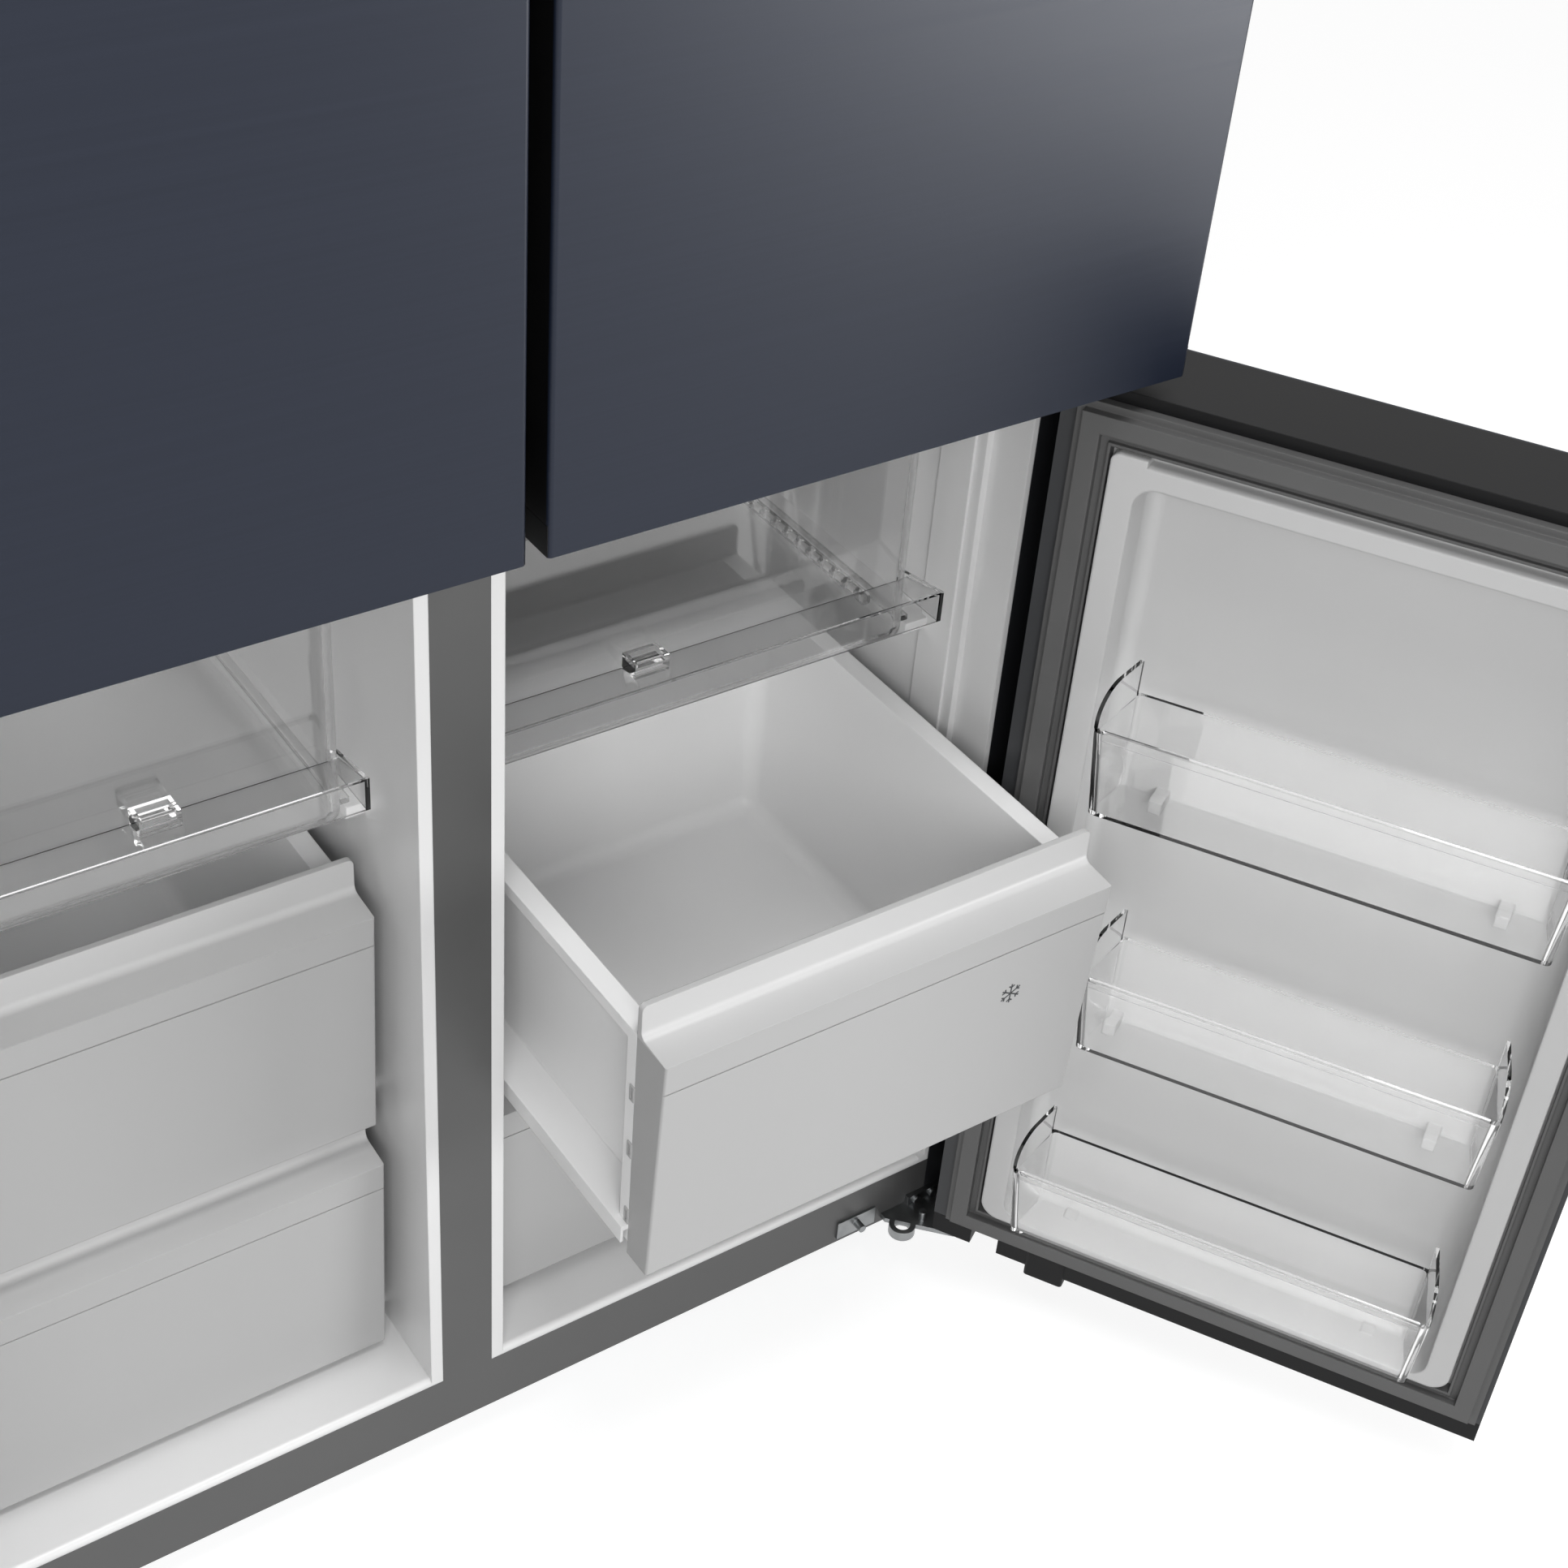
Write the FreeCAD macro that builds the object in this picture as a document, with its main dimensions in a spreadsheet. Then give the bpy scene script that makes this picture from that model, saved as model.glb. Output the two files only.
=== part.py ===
import os
import re

import FreeCAD
import Part
import Sketcher

# Four-door refrigerator with two freezer compartments of three drawers each.
# Millimetres. X to the viewer's right, front faces -Y, Z up, floor at zero.
# The model stands as it is photographed: both lower doors open, one drawer drawn out.

SIZES = {
    # cabinet
    "half_width": 416.5,
    "case_top": 1772,
    "case_depth": 575,
    "base_height": 35,
    "sheet": 1.5,
    "rail_top": 82,
    "beam_low": 728,
    "beam_height": 78,
    "head_height": 44,
    "flange": 29.5,
    "lip": 9,
    "mullion_half": 18.4,
    "mullion_lip": 8.6,
    "floor_rise": 6,
    "nose_depth": 12,
    "nose_round": 4,
    "mouth_step": 5,
    "mouth_depth": 34,
    "pilaster_front": 43,
    "pilaster_width": 31,
    "pilaster_rise": 2,
    "step_room": 200,
    "step_height": 150,
    "back_foam": 50,
    "duct_room": 57,
    "machine_room": 183,
    "machine_top": 215,
    "post_depth": 38,
    "post_round": 6,
    "liner_round": 12,
    "bead_first": 180,
    "bead_height": 24,
    "bead_side": 70,
    "bead_round": 10,
    "over": 1,
    # doors
    "door_gap": 12,
    "door_front": 80,
    "door_inner": 12,
    "lower_door_low": 44,
    "beam_cover_by": 32,
    "door_top_drop": 1,
    "hinge_in": 16.5,
    "hinge_front": 34,
    "open_angle": 121,
    "door_sheet": 1.2,
    "door_return": 12,
    "seal_cover": 4,
    "edge_round": 2.5,
    "cap_height": 18,
    "seal_free": 3.5,
    "seal_back": 11,
    "seal_end": 8,
    "seal_foot": 22,
    "seal_width": 24,
    "seal_fin": 2,
    "seal_clear": 0.3,
    "bulb_inset": 5,
    "rim_gap": 2,
    "rim_width": 17,
    "rim_foot": 5,
    "rim_base": 5,
    "rim_tab": 22,
    "rim_notch": 4,
    "tab_round": 5,
    "pocket_depth": 40,
    "pocket_round": 14,
    "pocket_base_round": 10,
    "post_slot": 14,
    "stop_block": 30,
    "stop_block_in": 73,
    "stop_block_drop": 8,
    # door racks
    "rack_play": 5.5,
    "rack_reach": 24,
    "rack_lean": 13,
    "rack_taper": 12,
    "rack_wall": 2.5,
    "rack_height": 71,
    "rack_round": 4,
    "rack_band": 7,
    "rack_band_thick": 2,
    "rack_ear": 26,
    "ear_round": 22,
    "rack_lug": 9,
    "lug_inset": 40,
    "rack_b_short": 21,
    "rack_lowest": 54,
    "rack_pitch": 191.5,
    "shelf_rack_first": 108,
    "shelf_rack_spare": 159,
    "shelf_rack_height": 80,
    # drawers
    "drawer_play_in": 13,
    "drawer_play_out": 20.3,
    "drawer_front": 32,
    "drawn_out": 189,
    "front_set_back": 8.7,
    "front_thick": 30,
    "front_height": 176.5,
    "ledge_rise": 2,
    "ledge_round": 5,
    "plate_height": 201.5,
    "plate_front": 26,
    "plate_round": 4,
    "front_round": 1.5,
    "seam_drop": 21.5,
    "seam_cut": 0.8,
    "tub_wall": 2.5,
    "tub_rise": 10,
    "tub_rim_drop": 24,
    "tub_rim_width": 11,
    "tub_rim_thick": 3,
    "tub_rim_lip": 9,
    "tub_round": 12,
    "tub_flange": 10,
    "tub_taper": 12,
    "runner_reach": 5,
    "runner_rise": 11.5,
    "runner_lip": 9,
    "runner_thick": 4,
    "runner_clear": 0.3,
    "runner_rib": 2,
    "rail_play": 1,
    "rail_start": 6,
    "rail_height": 9,
    "drawer_first": 14,
    "drawer_pitch": 204.5,
    "top_drawer_gap": 221.5,
    "low_tub_gap": 13,
    "mid_tub_gap": 78,
    "clear_height": 172,
    "clear_lip": 34,
    "clear_round": 10,
    "clear_nose_low": 35,
    "clear_nose_high": 57,
    "clear_nose_fall": 8,
    "clip_side": 102,
    "clip_width": 24,
    "clip_height": 4,
    "clip_depth": 16,
    "guide_first": 38,
    "guide_length": 196,
    "guide_rise": 9,
    "guide_size": 6,
    "guide_pitch": 14,
    "guide_notch": 5,
    # hinges
    "pin_radius": 5,
    "pin_clear": 0.05,
    "pin_seat": 14,
    "low_flange_rise": 8,
    "hinge_plate": 4,
    "hinge_arm": 30,
    "hinge_margin": 6,
    "hinge_tail": 52,
    "arm_round": 7,
    "cam_radius": 10,
    "cam_wall": 4,
    "cam_in": 44,
    "cam_front": 17,
    "cam_height": 8,
    "post_in": 28,
    "post_front": 20,
    "post_radius": 3,
    "screw_radius": 3.5,
    "screw_head": 2.5,
    # machine compartment and cooling
    "foot_radius": 19,
    "foot_neck": 14,
    "foot_pad": 12,
    "foot_stem": 6,
    "foot_in": 61.5,
    "foot_front": 45,
    "foot_back": 55,
    "slot_side": 156.5,
    "slot_bar": 20,
    "slot_low": 60,
    "slot_high": 40,
    "fan_radius": 62,
    "fan_hub": 16,
    "fan_thick": 16,
    "fan_before": 90,
    "fan_shaft": 4,
    "fan_blade": 2,
    "fan_lift": 10,
    "shroud_sheet": 3,
    "shroud_gap": 4,
    "strut_half": 9,
    "motor_length": 18,
    "motor_margin": 6,
    "spin_clear": 0.3,
    "compressor_in": 216.5,
    "compressor_radius": 64,
    "compressor_height": 126,
    "compressor_dome": 26,
    "compressor_crown": 40,
    "compressor_lift": 14,
    "compressor_plate": 4,
    "weld_height": 6,
    "weld_proud": 3,
    "mount_radius": 9,
    "mount_x": 62,
    "mount_y": 46,
    "condenser_in": 286.5,
    "condenser_front": 20,
    "condenser_back": 30,
    "condenser_head": 35,
    "condenser_pitch": 14,
    "condenser_fin": 4,
    "fin_web": 12,
    "fin_foot": 10,
    "cooler_side": 40,
    "cooler_gap": 10,
    "cooler_height": 260,
    "cooler_rest": 55,
    "cooler_fin": 4,
    "cooler_fan_radius": 40,
    "cooler_fan_head": 24,
    "cooler_motor": 20,
    "duct_sheet": 2.5,
    "vent_inset": 61.5,
    "vent_bar": 20,
    "vent_height": 12,
    "vent_low": 40,
    "vent_mid": 110,
    "vent_top": 70,
    "stop_in": 76,
    "stop_half": 17,
    "stop_plate": 2,
    "stop_low": 40,
    "stop_high": 56,
    "stop_pin": 3,
    "stop_pin_rise": 9,
    "stop_reach": 10,
    "stop_clear": 0.5,
    # shelves
    "shelf_thick": 4,
    "shelf_front": 70,
    "shelf_back": 20,
    "shelf_play": 1,
    "shelf_first": 204,
    "shelf_head": 248,
    "shelf_rest": 10,
}

DERIVED = {
    "flange_in": "half_width - flange",
    "lip_out": "half_width - flange - lip",
    "lip_in": "mullion_half + mullion_lip",
    "hinge_side": "half_width - hinge_in",
    "beam_high": "beam_low + beam_height",
    "head_low": "case_top - head_height",
    "liner_floor": "rail_top + floor_rise",
    "liner_depth": "case_depth - back_foam",
    "step_back": "case_depth - step_room",
    "duct_face": "liner_depth - duct_room",
    "machine_front": "case_depth - machine_room",
    "machine_floor": "base_height + sheet",
    "machine_mid": "(machine_front + case_depth) / 2",
    "lower_door_high": "beam_low + beam_cover_by",
    "upper_door_low": "lower_door_high + door_gap",
    "upper_door_high": "case_top - door_top_drop",
    "free_edge": "door_gap / 2",
    "hinge_return": "seal_back + seal_cover",
    "rim_lo": "free_edge + seal_free + seal_width + rim_gap",
    "rim_hi": "half_width - seal_back - seal_width - rim_gap",
    "pocket_lo": "rim_lo + rim_width",
    "pocket_hi": "rim_hi - rim_width",
    "rack_back": "pocket_base_round - pocket_depth",
    "rack_depth": "rack_reach - rack_back",
    "rack_c_low": "lower_door_low + rack_lowest",
    "rack_b_low": "rack_c_low + rack_pitch",
    "rack_a_low": "rack_b_low + rack_pitch",
    "shelf_rack_pitch": "(upper_door_high - upper_door_low - shelf_rack_spare) / 3",
    "shelf_rack_a": "upper_door_low + shelf_rack_first",
    "shelf_rack_b": "shelf_rack_a + shelf_rack_pitch",
    "shelf_rack_c": "shelf_rack_b + shelf_rack_pitch",
    "bead_pitch": "(case_top - machine_top - 2 * bead_first) / 4",
    "low_tub_depth": "step_back - drawer_front - front_thick - low_tub_gap",
    "mid_tub_depth": "duct_face - drawer_front - front_thick - mid_tub_gap",
    "drawer_in": "lip_in + drawer_play_in",
    "drawer_out": "lip_out - drawer_play_out",
    "low_drawer_low": "rail_top + drawer_first",
    "mid_drawer_low": "low_drawer_low + drawer_pitch",
    "top_drawer_low": "mid_drawer_low + top_drawer_gap",
    "ledge_back": "front_height + ledge_rise",
    "shelf_low": "beam_high + shelf_first",
    "shelf_pitch": "(head_low - shelf_low - shelf_head) / 2",
    "foot_side": "half_width - foot_in",
    "foot_rear": "case_depth - foot_back",
    "fan_height": "machine_floor + fan_radius + fan_lift",
    "slot_first": "half_width - slot_side",
    "slot_pitch": "(2 * slot_first + slot_bar) / 9",
    "slot_width": "slot_pitch - slot_bar",
    "compressor_side": "half_width - compressor_in",
    "condenser_side": "half_width - condenser_in",
    "fan_side": "condenser_side - fan_before",
    "duct_low": "liner_floor + step_height",
    "vent_pitch": "(lip_out - lip_in - 2 * vent_inset + vent_bar) / 4",
    "vent_width": "vent_pitch - vent_bar",
    "cooler_pitch": "(lip_out - lip_in - cooler_side - cooler_rest - cooler_fin) / 18",
    "cooler_mid": "(lip_in + lip_out) / 2",
    "cooler_fan_high": "beam_low - cooler_fan_radius - cooler_fan_head",
    "stop_side": "hinge_side - stop_in",
}

FUNCTIONS = ("sin", "cos")

doc = FreeCAD.newDocument("refrigerator")
sheet = doc.addObject("Spreadsheet::Sheet", "dim")
cells = [(alias, str(value)) for alias, value in SIZES.items()]
cells += [(alias, "=" + formula) for alias, formula in DERIVED.items()]
for row, (alias, content) in enumerate(cells, start=1):
    sheet.set("A%d" % row, alias)
    sheet.set("B%d" % row, content)
    sheet.setAlias("B%d" % row, alias)
doc.recompute()

nodes = {}


def ex(text):
    """Turn a formula of size names into a sheet expression."""
    def name(match):
        word = match.group(1)
        return word if word in FUNCTIONS else "dim." + word
    return re.sub(r"\b([a-z][a-z_]*)\b", name, str(text))


def node(name, obj):
    nodes[name] = obj
    return obj


def span(side, lo, hi):
    """An X span on the right side, or its mirror on the left."""
    if side > 0:
        return (lo, hi)
    return ("-(%s)" % hi, "-(%s)" % lo)


def box(name, x, y, z):
    obj = doc.addObject("Part::Box", name)
    for size, axis, (lo, hi) in (("Length", "x", x), ("Width", "y", y), ("Height", "z", z)):
        obj.setExpression(size, ex("(%s) - (%s)" % (hi, lo)))
        obj.setExpression("Placement.Base." + axis, ex(lo))
    return obj


TURNS = {
    "z": FreeCAD.Rotation(),
    "y": FreeCAD.Rotation(FreeCAD.Vector(1, 0, 0), -90),
    "x": FreeCAD.Rotation(FreeCAD.Vector(0, 1, 0), 90),
}


def rod(name, at, radius, length, axis="z"):
    obj = doc.addObject("Part::Cylinder", name)
    obj.Placement = FreeCAD.Placement(FreeCAD.Vector(), TURNS[axis])
    obj.setExpression("Radius", ex(radius))
    obj.setExpression("Height", ex(length))
    for key, value in zip("xyz", at):
        obj.setExpression("Placement.Base." + key, ex(value))
    return obj


def tapered(name, x, y, z, taper):
    """A block that narrows downwards at its sides and back, like a moulded tub."""
    obj = doc.addObject("Part::Wedge", name)
    obj.Placement = FreeCAD.Placement(FreeCAD.Vector(), FreeCAD.Rotation(FreeCAD.Vector(1, 0, 0), 90))
    for key, value in (
            ("Ymin", z[0]), ("Ymax", z[1]),
            ("Xmin", "%s + %s" % (x[0], taper)), ("Xmax", "%s - %s" % (x[1], taper)),
            ("X2min", x[0]), ("X2max", x[1]),
            ("Zmin", "%s - (%s)" % (taper, y[1])), ("Zmax", "-(%s)" % y[0]),
            ("Z2min", "-(%s)" % y[1]), ("Z2max", "-(%s)" % y[0])):
        obj.setExpression(key, ex(value))
    return obj


def fuse(name, *items):
    obj = doc.addObject("Part::MultiFuse", name)
    obj.Shapes = list(items)
    obj.Refine = True
    return obj


def cut(name, base, *tools):
    tool = tools[0] if len(tools) == 1 else fuse(name + "_tools", *tools)
    obj = doc.addObject("Part::Cut", name)
    obj.Base = base
    obj.Tool = tool
    obj.Refine = True
    return obj


def both(name, first, second):
    obj = doc.addObject("Part::Common", name)
    obj.Base = first
    obj.Tool = second
    return obj


def rounded(name, base, radius, wanted):
    """Round the edges of a solid that the test picks by middle point and direction."""
    doc.recompute()
    limit = SIZES[radius]
    picked = []
    for index, edge in enumerate(base.Shape.Edges, start=1):
        if edge.Curve.TypeId != "Part::GeomLine":
            continue
        way = edge.tangentAt(edge.FirstParameter)
        if wanted(edge.CenterOfMass, way, base.Shape.BoundBox):
            picked.append((index, limit, limit))
    obj = doc.addObject("Part::Fillet", name)
    obj.Base = base
    obj.Edges = picked
    return obj


NEAR = 0.5


def upright(m, w, b):
    return abs(w.z) > 0.9


def upright_front(m, w, b):
    return abs(w.z) > 0.9 and m.y < b.YMin + NEAR


def upright_rear(m, w, b):
    return abs(w.z) > 0.9 and m.y > b.YMax - NEAR


def upright_or_bottom(m, w, b):
    return abs(w.z) > 0.9 or m.z < b.ZMin + NEAR


def through(m, w, b):
    return abs(w.y) > 0.9


def through_low(m, w, b):
    return abs(w.y) > 0.9 and m.z < b.ZMin + NEAR


def through_top(m, w, b):
    return abs(w.y) > 0.9 and m.z > b.ZMax - NEAR


def through_or_back(m, w, b):
    return abs(w.y) > 0.9 or m.y > b.YMax - NEAR


def deepest(m, w, b):
    return m.y < b.YMin + NEAR


def top_front(m, w, b):
    return m.y < b.YMin + NEAR and m.z > b.ZMax - NEAR


def top_rear(m, w, b):
    return m.y > b.YMax - NEAR and m.z > b.ZMax - NEAR


def ledge_corner(m, w, b):
    return abs(w.x) > 0.9 and abs(m.y - b.YMax) < 5 and b.ZMax - 30 < m.z < b.ZMax - 15


def leaning_front(m, w, b):
    return abs(w.z) > 0.9 and m.y < b.YMin + (b.YMax - b.YMin) / 4


def rear_half(m, w, b):
    return abs(w.z) > 0.9 and m.y > b.Center.y


def rear_half_or_bottom(m, w, b):
    return m.z < b.ZMin + NEAR or rear_half(m, w, b)


PLANES = {
    "xy": FreeCAD.Rotation(),
    "yz": FreeCAD.Rotation(0.5, 0.5, 0.5, 0.5),
}


def profile(name, plane, at, points, length):
    """A closed outline of straight sides, each corner held by two named sizes, pulled to a solid."""
    sketch = doc.addObject("Sketcher::SketchObject", name + "_outline")
    sketch.Placement = FreeCAD.Placement(FreeCAD.Vector(), PLANES[plane])
    for key, value in zip("xyz", at):
        sketch.setExpression("Placement.Base." + key, ex(value))
    values = [[float(sheet.evalExpression(ex(part))) for part in point] for point in points]
    corners = [FreeCAD.Vector(a, b, 0) for a, b in values]
    count = len(corners)
    for i in range(count):
        sketch.addGeometry(Part.LineSegment(corners[i], corners[(i + 1) % count]), False)
    for i in range(count):
        sketch.addConstraint(Sketcher.Constraint("Coincident", i, 2, (i + 1) % count, 1))
    for i, point in enumerate(points):
        for kind, part, value in (("DistanceX", point[0], values[i][0]),
                                  ("DistanceY", point[1], values[i][1])):
            place = sketch.addConstraint(Sketcher.Constraint(kind, -1, 1, i, 1, value))
            label = "%s%d" % (kind[-1].lower() * 2, i)
            sketch.renameConstraint(place, label)
            sketch.setExpression("Constraints." + label, ex(part))
    solid = doc.addObject("Part::Extrusion", name)
    solid.Base = sketch
    solid.DirMode = "Normal"
    solid.Solid = True
    solid.setExpression("LengthFwd", ex(length))
    return solid


def swing(obj, side):
    """Turn a lower door's piece about its hinge by the open angle."""
    obj.Placement = FreeCAD.Placement(FreeCAD.Vector(), FreeCAD.Rotation(FreeCAD.Vector(0, 0, 1), 1))
    obj.setExpression("Placement.Rotation.Angle", ex("%d * open_angle" % side))
    obj.setExpression(
        "Placement.Base.x",
        ex("%d * (hinge_side * (1 - cos(open_angle)) - hinge_front * sin(open_angle))" % side))
    obj.setExpression(
        "Placement.Base.y",
        ex("-hinge_front * (1 - cos(open_angle)) - hinge_side * sin(open_angle)"))


SIDES = ((1, "r"), (-1, "l"))

# Cabinet case, its beaded back and its base

case_outer = box("case_outer", ("-half_width", "half_width"), ("0", "case_depth"),
                 ("base_height", "case_top"))
case_inner = box("case_inner", ("sheet - half_width", "half_width - sheet"), ("sheet", "case_depth + over"),
                 ("base_height - over", "case_top - sheet"))
case_mouth = box("case_mouth", ("-flange_in", "flange_in"), ("-over", "sheet + over"),
                 ("base_height - over", "head_low"))
node("case_shell", cut("case_shell", case_outer, case_inner, case_mouth))

back = [box("back_sheet", ("sheet - half_width", "half_width - sheet"),
            ("case_depth - 2 * sheet", "case_depth - sheet"), ("machine_top", "case_top - sheet"))]
for i in range(5):
    low = "machine_top + bead_first + %d * bead_pitch - bead_height / 2" % i
    bead = box("back_bead_%d" % i, ("bead_side - half_width", "half_width - bead_side"),
               ("case_depth - sheet", "case_depth"), (low, low + " + bead_height"))
    back.append(rounded("back_bead_round_%d" % i, bead, "bead_round", through))
node("back_panel", fuse("back_panel", *back))

node("base_deck", profile(
    "base_deck", "yz", ("sheet - half_width", "sheet", "base_height"),
    [("0", "0"), ("machine_front", "0"), ("machine_front", "machine_top - base_height - sheet"),
     ("case_depth - 3 * sheet", "machine_top - base_height - sheet"),
     ("case_depth - 3 * sheet", "machine_top - base_height"),
     ("machine_front - sheet", "machine_top - base_height"), ("machine_front - sheet", "sheet"),
     ("0", "sheet")],
    "2 * (half_width - sheet)"))

# Liners of the three compartments

fridge_cavity = box("fridge_cavity", ("-lip_out", "lip_out"), ("-over", "liner_depth"),
                    ("beam_high", "head_low"))
fridge_cavity = rounded("fridge_room", fridge_cavity, "liner_round",
                        through_or_back)
fridge_outer = box("fridge_outer", ("-lip_out - sheet", "lip_out + sheet"), ("sheet", "liner_depth + sheet"),
                   ("beam_high - sheet", "head_low + sheet"))
fridge_lip = box("fridge_lip", ("-flange_in", "flange_in"), ("0", "sheet"), ("beam_high", "head_low"))
shelf_rests = []
for level in range(3):
    low = "shelf_low + %d * shelf_pitch" % level
    for side, tag in SIDES:
        shelf_rests.append(box("shelf_rest_%d_%s" % (level, tag),
                               span(side, "lip_out - shelf_rest", "lip_out + sheet"),
                               ("shelf_front", "liner_depth"), (low + " - shelf_rest", low)))
node("upper_liner", fuse("upper_liner", cut("fridge_skin", fuse("fridge_form", fridge_outer, fridge_lip),
                                            fridge_cavity), *shelf_rests))


def freezer_outline(name, side, grow, front):
    """The stepped side view of a freezer compartment, pulled across its width."""
    x = span(side, "lip_in - %s" % grow, "lip_out + %s" % grow)
    top = "beam_low - liner_floor + 2 * %s" % grow
    return profile(
        name, "yz", (x[0], front, "liner_floor - %s" % grow),
        [("0", "0"), ("step_back + %s - %s" % (grow, front), "0"),
         ("step_back + %s - %s" % (grow, front), "step_height"),
         ("liner_depth + %s - %s" % (grow, front), "step_height"),
         ("liner_depth + %s - %s" % (grow, front), top), ("0", top)],
        "lip_out - lip_in + 2 * %s" % grow)


freezer_forms = []
for side, tag in SIDES:
    mouth_outer = box("mouth_outer_" + tag, span(side, "lip_out", "lip_out + mouth_step + sheet"),
                      ("sheet", "mouth_depth + sheet"), ("liner_floor - sheet", "beam_low + sheet"))
    mouth_inner = box("mouth_inner_" + tag, span(side, "lip_out - over", "lip_out + mouth_step"),
                      ("-over", "mouth_depth"), ("liner_floor", "beam_low"))
    nose = box("nose_block_" + tag, span(side, "lip_in", "lip_out"), ("0", "nose_depth"),
               ("rail_top", "liner_floor"))
    nose = rounded("nose_" + tag, nose, "nose_round", top_front)
    outer = fuse("freezer_outer_" + tag, freezer_outline("freezer_room_out_" + tag, side, "sheet", "sheet"),
                 mouth_outer)
    inner = fuse("freezer_inner_" + tag, freezer_outline("freezer_room_" + tag, side, "0", "0"), mouth_inner)
    freezer_forms += [outer, nose]
    lip = box("freezer_lip_" + tag, span(side, "mullion_half", "flange_in"), ("0", "sheet"),
              ("rail_top", "beam_low"))
    nose_room = box("nose_room_" + tag, span(side, "lip_in", "lip_out"), ("-over", "nose_depth"),
                    ("rail_top", "liner_floor + over"))
    extras = [nose, box("pilaster_" + tag, span(side, "lip_out - pilaster_rise", "lip_out + sheet"),
                        ("pilaster_front", "pilaster_front + pilaster_width"), ("liner_floor", "beam_low"))]
    for name, low, rear in (("low", "low_drawer_low", "step_back"), ("mid", "mid_drawer_low", "duct_face"),
                            ("top", "top_drawer_low", "duct_face")):
        top = "%s + runner_rise - runner_clear" % low
        for edge, lo, hi in (("in", "lip_in - sheet", "drawer_in - rail_play"),
                             ("out", "drawer_out + rail_play", "lip_out + sheet")):
            rail = box("rail_%s_%s_%s" % (name, edge, tag), span(side, lo, hi),
                       ("drawer_front + front_thick + rail_start", rear), (top + " - rail_height", top))
            extras.append(rail)
    skin = cut("freezer_skin_" + tag, fuse("freezer_form_" + tag, outer, lip), inner, nose_room)
    node("freezer_liner_" + tag, fuse("freezer_liner_" + tag, skin, *extras))

# Foam between the case and the liners

foam_block = box("foam_block", ("sheet - half_width", "half_width - sheet"),
                 ("sheet", "case_depth - 2 * sheet"),
                 ("base_height + sheet", "case_top - sheet"))
foam_machine = box("foam_machine", ("-half_width", "half_width"), ("machine_front", "case_depth"),
                   ("0", "machine_top"))
node("foam_body", cut("foam_body", foam_block, fridge_outer, foam_machine, *freezer_forms))

# Front members: lower mullion, bottom rail, cross beam and upper post

node("mullion_cover", box("mullion_cover", ("-mullion_half", "mullion_half"), ("0", "sheet"),
                          ("rail_top", "beam_low")))
node("bottom_rail", box("bottom_rail", ("-flange_in", "flange_in"), ("0", "sheet"),
                        ("base_height", "rail_top")))
node("beam_cover", box("beam_cover", ("-flange_in", "flange_in"), ("0", "sheet"), ("beam_low", "beam_high")))
node("center_post", rounded("center_post", box("post_block", ("-lip_in", "lip_in"), ("0", "post_depth"),
                                               ("beam_high", "head_low")), "post_round", upright_rear))

# Doors

DOORS = (
    ("ul", -1, "upper_door_low", "upper_door_high", False),
    ("ur", 1, "upper_door_low", "upper_door_high", False),
    ("ll", -1, "lower_door_low", "lower_door_high", True),
    ("lr", 1, "lower_door_low", "lower_door_high", True),
)


def frame(name, side, inset, y, low, high, foot, width):
    """A rectangular ring on the seal's line, set in from its outer edge."""
    lo = "free_edge + seal_free + %s" % inset
    hi = "half_width - seal_back - (%s)" % inset
    bottom = "%s + %s + %s" % (low, foot, inset)
    top = "%s - seal_end - (%s)" % (high, inset)
    outer = box(name + "_out", span(side, lo, hi), y, (bottom, top))
    inner = box(name + "_in", span(side, "%s + %s" % (lo, width), "%s - (%s)" % (hi, width)),
                ("%s - over" % y[0], "%s + over" % y[1]),
                ("%s + %s" % (bottom, width), "%s - (%s)" % (top, width)))
    return cut(name, outer, inner)


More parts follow.
